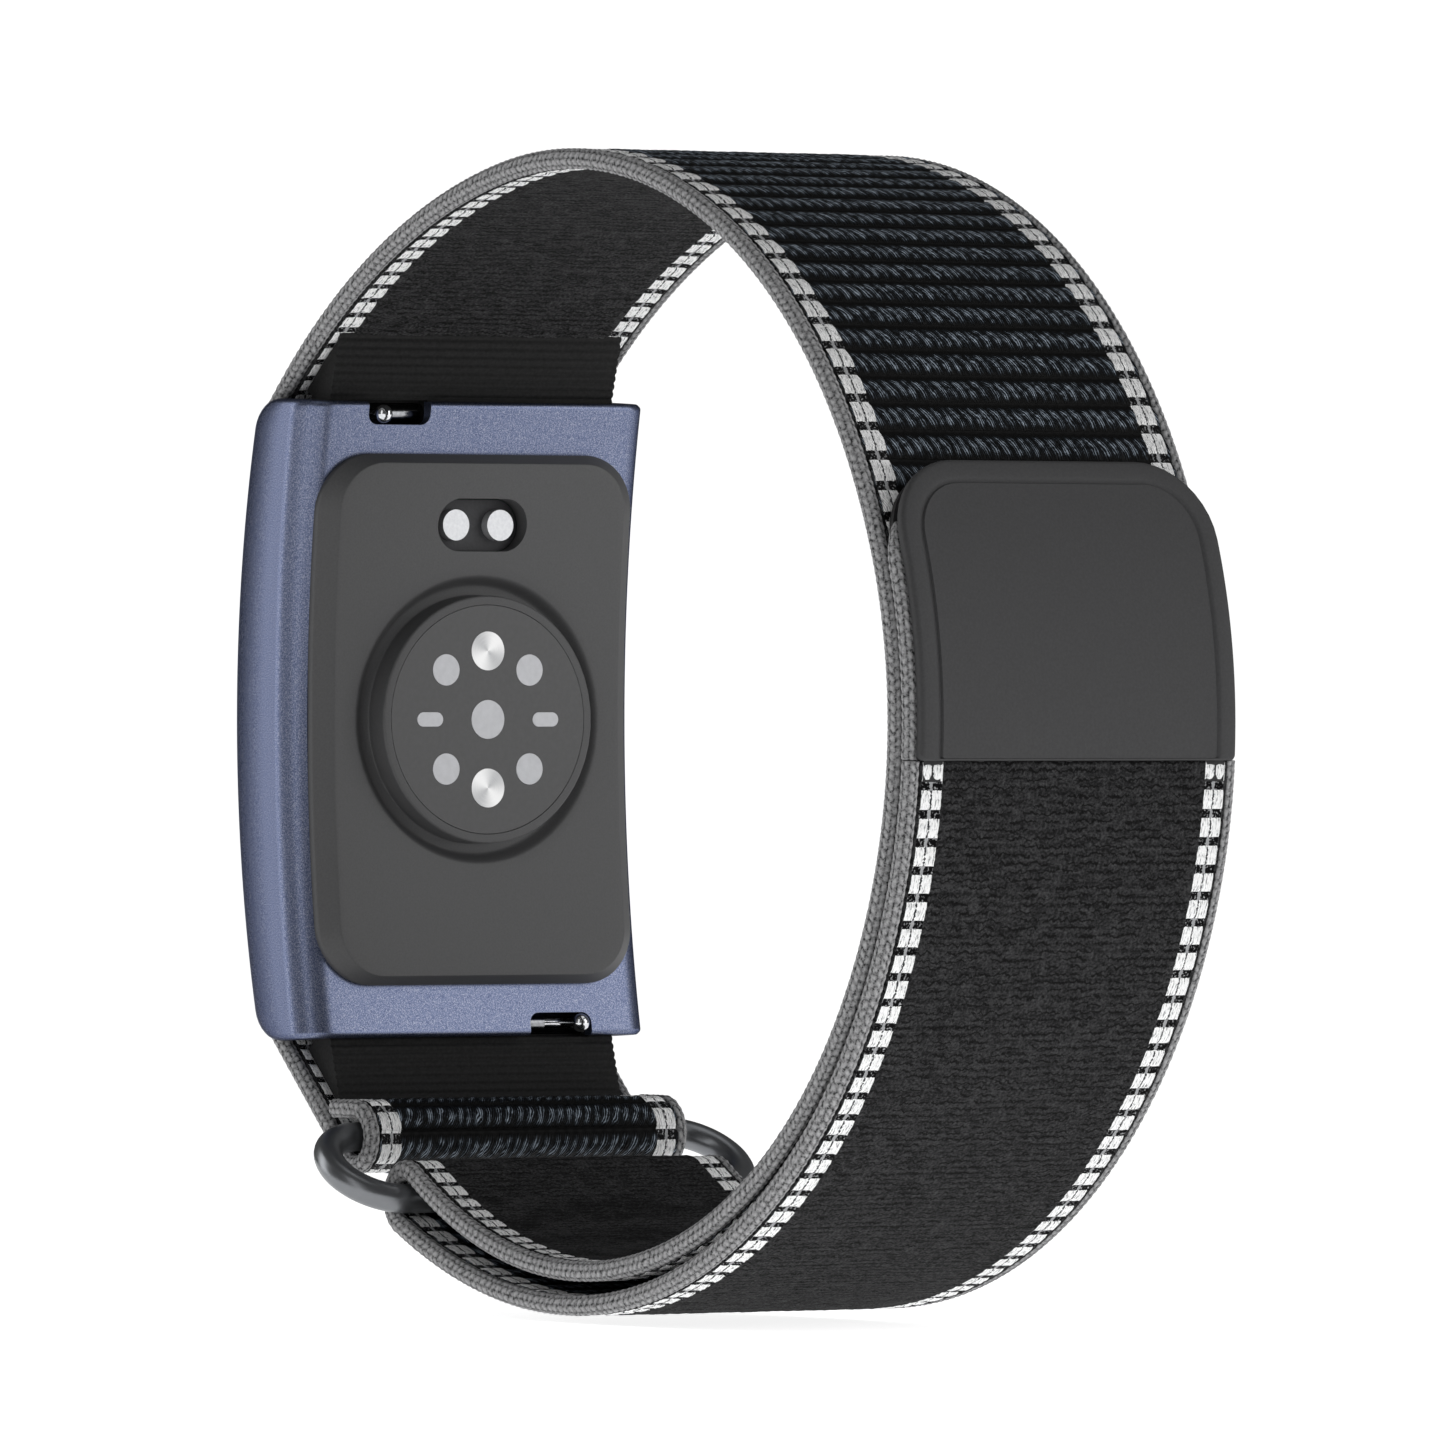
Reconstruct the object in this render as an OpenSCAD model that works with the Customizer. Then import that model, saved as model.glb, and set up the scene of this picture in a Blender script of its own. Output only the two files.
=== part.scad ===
// Fitness tracker on a woven hook-and-loop band.
// +X points from the tracker across the wrist, +Y across the band, +Z up along the tracker.
// The origin is the centre of the wrist loop. Millimetres.

/* [Tracker case] */
// Width of the case, across the band
case_w = 27; // [26.5:0.5:27.5]
// Height of the case, along the band
case_h = 42.8; // [42.6:0.1:43.4]
// Thickness of the case at mid height
case_t = 9.1; // [9.1:0.1:9.6]
// Distance from the loop centre to the back of the case
back_x = 35; // [35:0.1:35.3]
// Bow radius of the case back, towards the wrist
back_bow_r = 116; // [112:1:122]
// Bow radius of the display side
front_bow_r = 80; // [76:1:90]

/* [Back cover] */
// Width of the raised back cover
cover_w = 24.4; // [24:0.1:24.6]
// Height of the raised back cover
cover_h = 34.8; // [34.4:0.1:35]
// Corner radius of the back cover
cover_corner_r = 3.8; // [3:0.1:4.5]
// Height of the plateau above the back of the case
plateau_rise = 1.36; // [1.2:0.02:1.5]
// Width of the sloping rim round the plateau
rim_w = 1.1; // [0.9:0.1:1.3]

/* [Sensor] */
// Radius of the round sensor bump
bump_r = 8.14; // [7.9:0.02:8.3]
// Height of the bump's face above the back of the case
bump_rise = 2.73; // [2.5:0.01:2.9]
// Radius of the sensor lens
lens_r = 7.5; // [7.3:0.05:7.6]
// Diameter of the electrodes and of the middle window
electrode_d = 2.56; // [2.4:0.02:2.7]
// Distance of the electrodes from the middle
electrode_pitch = 4.5; // [4.4:0.05:4.6]
// Diameter of the four corner windows
window_d = 2.06; // [1.9:0.02:2.1]
// Offset of the four corner windows along both axes
window_offset = 3.25; // [3.2:0.05:3.3]
// Distance between the two charging contacts
contact_pitch = 3.45; // [3.3:0.05:3.6]
// Height of the charging recess above the middle of the case
contact_z = 12.77; // [12.6:0.01:12.9]

/* [Spring bars] */
// Distance of each spring bar from the middle of the case
bar_z = 20; // [20:0.05:20.1]
// Radius of the spring bar tube
bar_r = 0.75; // [0.72:0.01:0.76]
// Width of the ribbed sleeve round the spring bar
sleeve_w = 22; // [21.5:0.1:22.2]
// Travel of the quick-release knob
knob_travel = 1.3; // [1.2:0.05:1.5]

/* [Band] */
// Width of the band with its edge piping
band_w = 25; // [24:0.1:25]
// Thickness of the woven band
band_t = 1.4; // [1.2:0.05:1.4]
// Width of the braided piping on each edge
piping_w = 0.9; // [0.8:0.1:1.2]
// Distance between the middles of the two runs where the end tab holds them together
lay_pitch = 1.62; // [1.62:0.01:1.7]
// Length of the outer run from the ring to the end tab
tail_len = 73.6; // [72:0.1:75]
// Length of the end tab
tab_len = 18; // [17.5:0.1:19]

/* [Slide ring] */
// Radius of the ring's round bar
ring_bar_r = 0.95; // [0.85:0.05:0.95]
// Distance between the ring's two long bars
ring_pitch = 7.2; // [7:0.1:7.4]
// Half the length of the ring's straight bars
ring_half = 12; // [12:0.1:12.4]
// Tilt of the ring, from the lower bar up to the upper bar
ring_tilt = 147.4; // [146:0.1:149]

/* [Hidden] */

$fn = 48;
eps = 0.01;
fit_gap = 0.04;
layer_gap = 0.02;   // between layers that follow the same curve

// Paths are lists of poses, [point, heading in degrees]; left turns are positive.
// The long band runs clockwise from the upper sleeve over the top and round to the slide ring.
band_start = [[-38, 21.8], 43.4];
band_arcs = [[52, -32.9], [38, -80.7], [32, -34.4], [36, -108]];   // [radius, turn]
fold_r = 1.84;
fold_lead = 4;
tail_open = 2 * fold_r - lay_pitch;
tail_close_len = 16;
keeper_heading = -43.6;
keeper_straight = 9.7;
keeper_return = 2.6;
keeper_t = 1.25;
keeper_roll_r = 1.82;
bar_x = -35.4;
band_step = 2.2;

case_half = case_h / 2;
end_taper = 0.5;
case_side_r = 2.4;
edge_r = 0.4;
front_edge_r = 2.2;
section_back_x = -32.6;
pocket_inner_x = -33.97;
pocket_outer_x = -37.05;
pocket_half_w = 11.35;
pocket_depth_z = 18.5;
notch_y0 = 3.9;
notch_y1 = 8.7;
notch_floor_z = 19.3;
knob_y = 7.7;
knob_r = 0.6;
knob_x = -32.95;
tip_hole_y = 12.7;
tip_hole_r = 0.5;

cavity_half_y = 11;
cavity_half_z = 17.3;
cavity_back_x = -36.4;
glass_t = 1;
glass_inset = 0.8;
seat_deep = 2.4;
glass_side = 1.2;   // more room beside the glass than at its ends
glass_end = 0.8;
seat_step = 0.8;   // ledge the back cover rests on
under_x = -37;
clear_x = -29;   // past the highest point of the back

// Turning and walking along arcs
function left_of(a) = [-sin(a), cos(a)];
function turned(v, a) = [v.x * cos(a) - v.y * sin(a), v.x * sin(a) + v.y * cos(a)];
function arc_len(arc) = arc[0] * abs(arc[1]) * PI / 180;
function arc_pose(pose, arc, k) =
    let (c = pose[0] + sign(arc[1]) * arc[0] * left_of(pose[1]))
    [c + turned(pose[0] - c, k * arc[1]), pose[1] + k * arc[1]];
function path_len(arcs, i = 0) = i == len(arcs) ? 0 : arc_len(arcs[i]) + path_len(arcs, i + 1);
function pose_at(pose, arcs, s, i = 0) =
    s <= arc_len(arcs[i]) || i == len(arcs) - 1
        ? arc_pose(pose, arcs[i], s / arc_len(arcs[i]))
        : pose_at(arc_pose(pose, arcs[i], 1), arcs, s - arc_len(arcs[i]), i + 1);

band_len = path_len(band_arcs);
band_end = pose_at(band_start, band_arcs, band_len);
lower_bar = band_end[0] + fold_r * left_of(band_end[1]);
upper_bar = lower_bar + ring_pitch * [cos(ring_tilt), sin(ring_tilt)];
keeper_start = upper_bar - keeper_roll_r * left_of(keeper_heading)
    - keeper_straight * [cos(keeper_heading), sin(keeper_heading)];

// Offset of the outer run's middle from the long band's middle, s back from the ring
function run_gap(s) = lay_pitch + tail_open * exp(-s / tail_close_len);
function steps(len, step = band_step) = max(2, ceil(len / step));
function stretch(s0, s1) =
    [for (k = [0:steps(s1 - s0)]) s0 + (s1 - s0) * k / steps(s1 - s0)];
function side(ss, off) = [for (s = ss) let (p = pose_at(band_start, band_arcs, s)) p[0] + off * left_of(p[1])];
function run_side(ss, off) =
    [for (s = ss) let (p = pose_at(band_start, band_arcs, s))
        p[0] + (run_gap(band_len - s) + off) * left_of(p[1])];
function back_to_front(v) = [for (i = [len(v) - 1:-1:0]) v[i]];
function ring_arc(c, r, a0, a1, n = 12) = [for (k = [0:n]) c + r * [cos(a0 + (a1 - a0) * k / n), sin(a0 + (a1 - a0) * k / n)]];

// Extrudes an X-Z outline along Y
module along_y(y0, y1) {
    translate([0, y1, 0]) rotate([90, 0, 0]) linear_extrude(y1 - y0) children();
}
// Extrudes a Y-Z outline along X
module along_x(x0, x1) {
    translate([x0, 0, 0]) rotate([90, 0, 90]) linear_extrude(x1 - x0) children();
}
module rod_y(x, z, y0, y1, r) {
    translate([x, y1, z]) rotate([90, 0, 0]) cylinder(h = y1 - y0, r = r);
}
module rod_x(y, z, x0, x1, r) {
    translate([x0, y, z]) rotate([0, 90, 0]) cylinder(h = x1 - x0, r = r);
}
module block(x0, x1, y0, y1, z0, z1) {
    translate([x0, y0, z0]) cube([x1 - x0, y1 - y0, z1 - z0]);
}
module rounded_rect(w, h, r) {
    offset(r = r, $fn = 32) square([w - 2 * r, h - 2 * r], center = true);
}
module both_edges(w0, w1) {
    along_y(-w1, -w0) children();
    along_y(w0, w1) children();
}

// Bow curves of the case: X at height z
function back_bow(z, rise = 0) = back_bow_r - back_x - sqrt(pow(back_bow_r - rise, 2) - z * z);
function front_bow(z, inset = 0) = front_bow_r - back_x - case_t - sqrt(pow(front_bow_r - inset, 2) - z * z);
function bow_line(z0, z1, x_of, n = 16) = [for (k = [0:n]) let (z = z0 + (z1 - z0) * k / n) [x_of(z), z]];

// Side profile of the case, with its back moved towards the wrist by extra
module case_side(half, extra = 0) {
    polygon(concat(
        bow_line(-half, half, function(z) front_bow(z)),
        bow_line(half - end_taper, end_taper - half, function(z) back_bow(z) + extra)));
}
module case_section() {
    front_x = -back_x - case_t;
    depth = section_back_x - front_x;
    translate([front_x + depth / 2, 0]) offset(r = case_side_r, $fn = 32)
        square([depth - 2 * case_side_r, case_w - 2 * case_side_r], center = true);
}
module case_outer() {
    intersection() {
        along_y(-case_w / 2, case_w / 2) intersection() {
            offset(r = edge_r, $fn = 24) offset(delta = -edge_r) case_side(case_half);
            offset(r = front_edge_r, $fn = 32) offset(delta = -front_edge_r) case_side(case_half, 2 * front_edge_r);
        }
        translate([0, 0, -case_half - 1]) linear_extrude(case_h + 2) case_section();
    }
}
module lug_pocket(up) {
    z0 = up > 0 ? pocket_depth_z : -case_half - 2;
    z1 = up > 0 ? case_half + 2 : -pocket_depth_z;
    block(pocket_outer_x, pocket_inner_x, -pocket_half_w, pocket_half_w, z0, z1);
    rod_y(bar_x, up * bar_z, -tip_hole_y, tip_hole_y, tip_hole_r);
    // The notch through the back wall, where the release knob slides
    nz0 = up > 0 ? notch_floor_z : -case_half - 2;
    nz1 = up > 0 ? case_half + 2 : -notch_floor_z;
    ny0 = up > 0 ? -notch_y1 : notch_y0;
    block(pocket_inner_x - 0.5, clear_x, ny0, ny0 + notch_y1 - notch_y0, nz0, nz1);
}
module glass_shape(margin, r) {
    along_x(-back_x - case_t - 1, cavity_back_x)
        rounded_rect(case_w - 2 * (margin + glass_side), case_h - 2 * (margin + glass_end), r);
}
module case_frame() {
    color("#6f7a9c") difference() {
        case_outer();
        // Room for the electronics
        block(-back_x - case_t + seat_deep - 0.2, cavity_back_x,
            -cavity_half_y, cavity_half_y, -cavity_half_z, cavity_half_z);
        // Seat of the back cover
        along_x(cavity_back_x - eps, clear_x)
            rounded_rect(cover_w - 2 * seat_step, cover_h - 2 * seat_step, cover_corner_r - seat_step);
        // Seat of the glass and display
        intersection() {
            glass_shape(glass_inset, 3);
            along_y(-case_w, case_w) polygon(concat(
                bow_line(-case_half, case_half, function(z) front_bow(z) - 2),
                bow_line(case_half, -case_half, function(z) front_bow(z, seat_deep))));
        }
        lug_pocket(1);
        lug_pocket(-1);
    }
}
module front_layer(inset0, inset1, margin, r) {
    intersection() {
        glass_shape(margin, r);
        along_y(-case_w / 2, case_w / 2) polygon(concat(
            bow_line(-case_half, case_half, function(z) front_bow(z, inset0)),
            bow_line(case_half, -case_half, function(z) front_bow(z, inset1))));
    }
}
module cover_glass() {
    color("#101114") front_layer(0, glass_t, glass_inset + 0.1, 2.9);
}
module display_panel() {
    color("#1b1f2a") front_layer(glass_t + 0.1, glass_t + 1.1, glass_inset + 0.8, 2.4);
}

// Electronics inside the case
carrier_back = 2.55;
board_x = -38.1;
board_t = 0.6;
screw_y = 9.8;
screw_z = 8;
motor_x = -39.25;
motor_z = -13.2;
motor_r = 1.1;
shaft_r = 0.25;

module at_screws() {
    for (y = [-screw_y, screw_y], z = [-screw_z, screw_z]) translate([0, y, z]) children();
}
module inner_carrier() {
    color("#3a3a3c") difference() {
        union() {
            intersection() {
                block(-44, -38, -10.8, 10.8, -16.5, 17.1);
                along_y(-10.8, 10.8) polygon(concat(
                    bow_line(-16.5, 17.1, function(z) front_bow(z, seat_deep - 0.2)),
                    bow_line(17.1, -16.5, function(z) front_bow(z, carrier_back))));
            }
            at_screws() rod_x(0, 0, front_bow(screw_z, carrier_back) - 0.1, board_x, 0.95);
        }
        at_screws() rod_x(0, 0, -40, board_x + 1, 0.37);
    }
}
module battery() {
    color("#b9bcc2") block(-40.5, -38.4, -8.6, 8.6, -9, 12);
}
module main_board() {
    color("#1f5a3c") difference() {
        block(board_x, board_x + board_t, -10.2, 10.2, -16.2, 16.2);
        at_screws() rod_x(0, 0, board_x - 1, board_x + 2, 0.42);
    }
}
module case_screws() {
    color("#c9c9cc") at_screws() {
        rod_x(0, 0, -39.7, board_x + board_t, 0.35);
        rod_x(0, 0, board_x + board_t, board_x + board_t + 0.4, 0.75);
    }
}
module shield_can() {
    color("#c4c6ca") block(board_x - 1.4, board_x, -9.4, -0.6, -16, -10.2);
}
module board_chips() {
    color("#18181a") {
        block(board_x - 0.9, board_x, -7.6, -4.2, 12.6, 15.9);
        block(board_x - 0.8, board_x, -3, 1.4, 12.6, 15.9);
        block(board_x - 0.6, board_x, 2.6, 7.6, 13, 15.6);
    }
}
module display_flex() {
    color("#a8742c") {
        block(-40.1, -37.35, 1.6, 8, -16.85, -16.7);
        block(board_x + board_t, board_x + board_t + 0.15, 1.6, 8, -16.7, -15.4);
    }
}
module motor_can() {
    color("#bfc1c6") difference() {
        rod_y(motor_x, motor_z, 1.2, 5.7, motor_r);
        rod_y(motor_x, motor_z, 3.2, 6, shaft_r + fit_gap);
    }
}
module motor_shaft() {
    color("#d7d8da") rod_y(motor_x, motor_z, 3.3, 8.6, shaft_r);
}
module eccentric_weight() {
    color("#8d8f94") difference() {
        rod_y(motor_x, motor_z, 6.2, 8.4, motor_r - 0.05);
        rod_y(motor_x, motor_z, 6, 9, shaft_r);
        block(motor_x - 2, motor_x + 2, 6, 9, motor_z + 0.45, motor_z + 2);
    }
}

// Back cover with its sensor bump and charging recess
lens_back_x = -33.25;
lens_face_x = -back_x + bump_rise;
plateau_w = cover_w - 2 * rim_w;
plateau_h = cover_h - 1.2;
plug_gap = 0.05;
hollow_x = -34.9;
gasket_t = 0.15;
recess_w = 6.95;
recess_h = 3.47;
recess_floor_x = -34.15;
moat_floor_x = -34.1;
moat_w = 0.95;
lens_ledge = 0.9;
window_gap = 0.02;
side_window_w = 2;
side_window_h = 0.94;
contact_r = 1.02;
contact_face_x = -33.45;

module bow_layer(w, h, r, rise0, rise1) {
    intersection() {
        along_x(under_x, clear_x) rounded_rect(w, h, r);
        along_y(-w / 2 - 1, w / 2 + 1) polygon(concat(
            bow_line(-h / 2 - 0.5, h / 2 + 0.5, function(z) back_bow(z, rise1)),
            bow_line(h / 2 + 0.5, -h / 2 - 0.5, function(z) back_bow(z, rise0))));
    }
}
module oval_x(w, h, x0, x1, z) {
    block(x0, x1, -(w - h) / 2, (w - h) / 2, z - h / 2, z + h / 2);
    for (y = [-1, 1]) rod_x(y * (w - h) / 2, z, x0, x1, h / 2);
}
module back_cover() {
    plug_w = cover_w - 2 * (seat_step + plug_gap);
    plug_h = cover_h - 2 * (seat_step + plug_gap);
    color("#4a4a4a") difference() {
        union() {
            bow_layer(cover_w, cover_h, cover_corner_r, gasket_t, plateau_rise / 2);
            bow_layer(plateau_w, plateau_h, cover_corner_r - 0.6, plateau_rise / 2 - eps, plateau_rise);
            intersection() {
                along_x(cavity_back_x + plug_gap, clear_x) rounded_rect(plug_w, plug_h, cover_corner_r - seat_step);
                bow_layer(cover_w, cover_h, cover_corner_r, -2.4, plateau_rise / 2);
            }
            rod_x(0, 0, moat_floor_x - 0.5, lens_face_x, bump_r);
        }
        // Moat round the bump
        difference() {
            rod_x(0, 0, moat_floor_x, clear_x - 1, bump_r + moat_w);
            rod_x(0, 0, under_x, clear_x, bump_r);
        }
        rod_x(0, 0, under_x, clear_x, lens_r - lens_ledge);
        rod_x(0, 0, lens_back_x, clear_x, lens_r + fit_gap);
        // Hollow side, for the sensor board
        along_x(under_x, hollow_x) rounded_rect(plug_w - 2, plug_h - 2, 2);
        oval_x(recess_w, recess_h, under_x, clear_x, contact_z);
    }
}
module cover_gasket() {
    color("#161616") difference() {
        bow_layer(cover_w - 0.3, cover_h - 0.3, cover_corner_r - 0.15, layer_gap, gasket_t);
        along_x(under_x, clear_x) rounded_rect(cover_w - 1.5, cover_h - 1.5, cover_corner_r - 0.75);
    }
}
module electrode_places() {
    for (z = [-electrode_pitch, electrode_pitch]) translate([0, 0, z]) children();
}
module corner_places() {
    for (y = [-window_offset, window_offset], z = [-window_offset, window_offset])
        translate([0, y, z]) children();
}
module side_window_shape(grow = 0) {
    for (y = [-electrode_pitch, electrode_pitch]) translate([0, y, 0])
        oval_x(side_window_w + 2 * grow, side_window_h + 2 * grow, lens_back_x - 2 * grow, lens_face_x + 2 * grow, 0);
}
module sensor_lens() {
    color("#474747") difference() {
        rod_x(0, 0, lens_back_x, lens_face_x - 0.02, lens_r);
        electrode_places() rod_x(0, 0, under_x, clear_x, electrode_d / 2 + window_gap);
        rod_x(0, 0, under_x, clear_x, electrode_d / 2 + window_gap);
        corner_places() rod_x(0, 0, under_x, clear_x, window_d / 2 + window_gap);
        side_window_shape(window_gap);
    }
}
module sensor_electrodes() {
    color("#dcdcdc") electrode_places() rod_x(0, 0, lens_back_x, lens_face_x, electrode_d / 2);
}
module corner_windows() {
    color("#c3c4c8") corner_places() rod_x(0, 0, lens_back_x, lens_face_x, window_d / 2);
}
module middle_window() {
    color("#c8c9cc") rod_x(0, 0, lens_back_x, lens_face_x, electrode_d / 2);
}
module side_windows() {
    color("#b9babd") side_window_shape();
}
module sensor_board() {
    color("#1f5a3c") rod_x(0, 0, -36.2, -35.6, 8.8);
}
module contact_base() {
    color("#2b2b2b") difference() {
        oval_x(recess_w - 0.1, recess_h - 0.1, -35.6, recess_floor_x, contact_z);
        for (y = [-0.5, 0.5]) rod_x(y * contact_pitch, contact_z, -36.3, clear_x, contact_r + 0.01);
    }
}
module charge_contacts() {
    color("#e0e2e4") for (y = [-0.5, 0.5])
        rod_x(y * contact_pitch, contact_z, -36.2, contact_face_x, contact_r);
}

// Spring bars; end = 1 is the top one, whose knob is on the -Y side, and -1 is the bottom one
tube_half = 10.6;
tube_bore_r = 0.52;
tip_r = 0.46;
tip_y = 12;
slider_y = 5.4;
bore_end_y = 2.4;
stem_r = 0.28;

module knob_side(end) {
    if (end > 0) translate([0, 0, bar_z]) mirror([0, 1, 0]) children();
    else translate([0, 0, -bar_z]) children();
}
module bar_tube(end) {
    knob_side(end) {
        difference() {
            rod_y(bar_x, 0, -tube_half, tube_half, bar_r);
            rod_y(bar_x, 0, bore_end_y, tube_half + 1, tube_bore_r);
            block(bar_x, bar_x + 2, knob_y - knob_travel - 0.4, knob_y + 0.4, -0.36, 0.36);
        }
        rod_y(bar_x, 0, -tip_y, -tube_half + 0.1, tip_r);
    }
}
module release_pin(end) {
    knob_side(end) {
        rod_y(bar_x, 0, slider_y, tip_y, tip_r);
        rod_x(knob_y, 0, bar_x, knob_x, stem_r);
        translate([knob_x, knob_y, 0]) sphere(r = knob_r);
    }
}
// A compression coil along Y, as a swept tube
coil_r = 0.34;
wire_r = 0.07;
coil_turns = 6;
coil_sides = 6;
coil_rings_per_turn = 12;
module bar_spring(end) {
    rings = coil_turns * coil_rings_per_turn;
    y0 = bore_end_y + wire_r + 0.03;
    y1 = slider_y - wire_r - 0.03;
    points = [for (i = [0:rings], j = [0:coil_sides - 1])
        let (a = 360 * i / coil_rings_per_turn, b = 360 * j / coil_sides, r = coil_r + wire_r * cos(b))
        [bar_x + r * cos(a), y0 + (y1 - y0) * i / rings + wire_r * sin(b), r * sin(a)]];
    walls = [for (i = [0:rings - 1], j = [0:coil_sides - 1])
        let (k = (j + 1) % coil_sides, a = i * coil_sides, b = a + coil_sides)
        [a + j, b + j, b + k, a + k]];
    caps = [[for (j = [0:coil_sides - 1]) j], [for (j = [coil_sides - 1:-1:0]) rings * coil_sides + j]];
    knob_side(end) polyhedron(points, concat(walls, caps));
}
module upper_bar_tube() { color("#c8cacd") bar_tube(1); }
module lower_bar_tube() { color("#c8cacd") bar_tube(-1); }
module upper_release_pin() { color("#d4d6d8") release_pin(1); }
module lower_release_pin() { color("#d4d6d8") release_pin(-1); }
module upper_bar_spring() { color("#b4b6ba") bar_spring(1); }
module lower_bar_spring() { color("#b4b6ba") bar_spring(-1); }

// Outlines of the band's stretches, in the X-Z plane
weave_half = band_w / 2 - piping_w;
piping_t = band_t + 0.1;
tab_s1 = band_len - tail_len;
tab_s0 = tab_s1 - tab_len;

module band_outline(s0, s1, off0, off1) {
    ss = stretch(s0, s1);
    polygon(concat(side(ss, off1), back_to_front(side(ss, off0))));
}
module tail_outline(s0, s1, t) {
    ss = stretch(s0, s1);
    polygon(concat(run_side(ss, t / 2), back_to_front(run_side(ss, -t / 2))));
}
module fold_outline(t) {
    lead = stretch(band_len - fold_lead, band_len);
    out = back_to_front(lead);
    a0 = band_end[1] - 90;
    polygon(concat(
        side(lead, t / 2), ring_arc(lower_bar, fold_r - t / 2, a0, a0 + 180), run_side(out, -t / 2),
        run_side(lead, t / 2), ring_arc(lower_bar, fold_r + t / 2, a0 + 180, a0), side(out, -t / 2)));
}
module keeper_outline(t) {
    a0 = keeper_heading - 90;
    function keeper_side(off) = concat(
        [keeper_start + off * left_of(keeper_heading)],
        ring_arc(upper_bar, keeper_roll_r - off, a0, 90, 20),
        [upper_bar + [-keeper_return, keeper_roll_r - off]]);
    polygon(concat(keeper_side(-t / 2), back_to_front(keeper_side(t / 2))));
}

module sleeve_outline(end) {
    inner = end > 0 ? [-32.85, 25.7] : [-32.95, 25.3];
    body = [for (p = [[-34.5, bar_z], [-34.2, 21], inner, [-36, 26], [-38.6, 22.2],
        [-37.4, 21.4], [-36.6, 21.2], [-36.3, bar_z]]) [p.x, end * p.y]];
    difference() {
        union() {
            translate([bar_x, end * bar_z]) circle(r = 1.25);
            polygon(end > 0 ? body : back_to_front(body));
        }
        translate([bar_x, end * bar_z]) circle(r = bar_r + fit_gap);
        if (end > 0) {
            band_outline(0, 12, -band_t / 2 - 2 * layer_gap, 3);
            translate(band_start[0]) rotate(band_start[1]) translate([-6, -band_t / 2])
                square([6 + eps, 8]);
        } else {
            translate(keeper_start) rotate(keeper_heading) translate([-3, -8])
                square([keeper_straight + 6, 8 + keeper_t / 2]);
        }
    }
}
module sleeve(end) {
    difference() {
        along_y(-sleeve_w / 2, sleeve_w / 2) sleeve_outline(end);
        knob_side(end) block(bar_x + 0.2, clear_x, notch_y0 - 0.4, notch_y1 + 0.4, -2, 1.6);
    }
}
module upper_sleeve() { color("#262626") sleeve(1); }
module lower_sleeve() { color("#262626") sleeve(-1); }
module long_band() {
    color("#14161a") along_y(-weave_half, weave_half)
        band_outline(0, band_len - fold_lead, -band_t / 2, band_t / 2);
}
module long_band_piping() {
    color("#8a8a8a") both_edges(weave_half, band_w / 2)
        band_outline(0, band_len - fold_lead, -piping_t / 2, piping_t / 2);
}
module band_fold() {
    color("#2a2a2a") along_y(-weave_half, weave_half) fold_outline(band_t);
}
module band_fold_piping() {
    color("#8a8a8a") both_edges(weave_half, band_w / 2) fold_outline(band_t);
}
module tail_band() {
    color("#2a2a2a") along_y(-weave_half, weave_half) tail_outline(tab_s1, band_len - fold_lead, band_t);
}
module tail_band_piping() {
    color("#8a8a8a") both_edges(weave_half, band_w / 2)
        tail_outline(tab_s1, band_len - fold_lead, band_t);
}
module keeper_band() {
    color("#14161a") along_y(-weave_half, weave_half) keeper_outline(keeper_t);
}
module keeper_band_piping() {
    color("#8a8a8a") both_edges(weave_half, band_w / 2) keeper_outline(keeper_t);
}

// Stiff end tab with the hook pad under it
tab_gap = 0.3;
hook_t = 0.55;
tab_corner_r = 5;
tab_skin = 0.5;   // how far the tab stands above the outer run
tab_w = 23.9;

module tab_layer(w, inset, off0, off1) {
    top = side([tab_s0 + inset], off0)[0].y;
    intersection() {
        along_y(-w / 2, w / 2) band_outline(tab_s0 + inset, tab_s1 - tab_gap - inset, off0, off1);
        along_x(20, 45) translate([0, top - 25]) rounded_rect(w, 50, tab_corner_r - inset);
    }
}
module end_tab() {
    color("#434343") tab_layer(tab_w, 0,
        lay_pitch - band_t / 2 + hook_t, lay_pitch + band_t / 2 + tab_skin);
}
module hook_pad() {
    color("#1c1c1c") tab_layer(band_w - 3, 1.2,
        lay_pitch - band_t / 2, lay_pitch - band_t / 2 + hook_t - 2 * layer_gap);
}

// Oval slide ring, in the plane through the two bars
module slide_ring() {
    r = ring_pitch / 2;
    middle = (lower_bar + upper_bar) / 2;
    color("#3a3c3e") translate([middle.x, 0, middle.y]) rotate([0, -ring_tilt, 0]) {
        for (x = [-r, r]) rod_y(x, 0, -ring_half, ring_half, ring_bar_r);
        for (end = [0, 180]) rotate([0, 0, end]) translate([0, ring_half, 0])
            rotate_extrude(angle = 180) translate([r, 0]) circle(r = ring_bar_r);
    }
}

case_frame();
cover_glass();
display_panel();
display_flex();
inner_carrier();
battery();
main_board();
shield_can();
board_chips();
motor_can();
back_cover();
cover_gasket();
case_screws();
sensor_lens();
sensor_board();
sensor_electrodes();
corner_windows();
middle_window();
side_windows();
contact_base();
charge_contacts();
upper_bar_tube();
lower_bar_tube();
upper_bar_spring();
lower_bar_spring();
motor_shaft();
eccentric_weight();
upper_release_pin();
lower_release_pin();
upper_sleeve();
long_band();
long_band_piping();
band_fold();
band_fold_piping();
tail_band();
tail_band_piping();
end_tab();
hook_pad();
lower_sleeve();
keeper_band();
keeper_band_piping();
slide_ring();
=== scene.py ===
"""Visual model of a fitness tracker on a woven loop band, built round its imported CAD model."""
from collections import namedtuple
from math import atan2, copysign, cos, degrees, pi, radians, sin, sqrt

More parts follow.
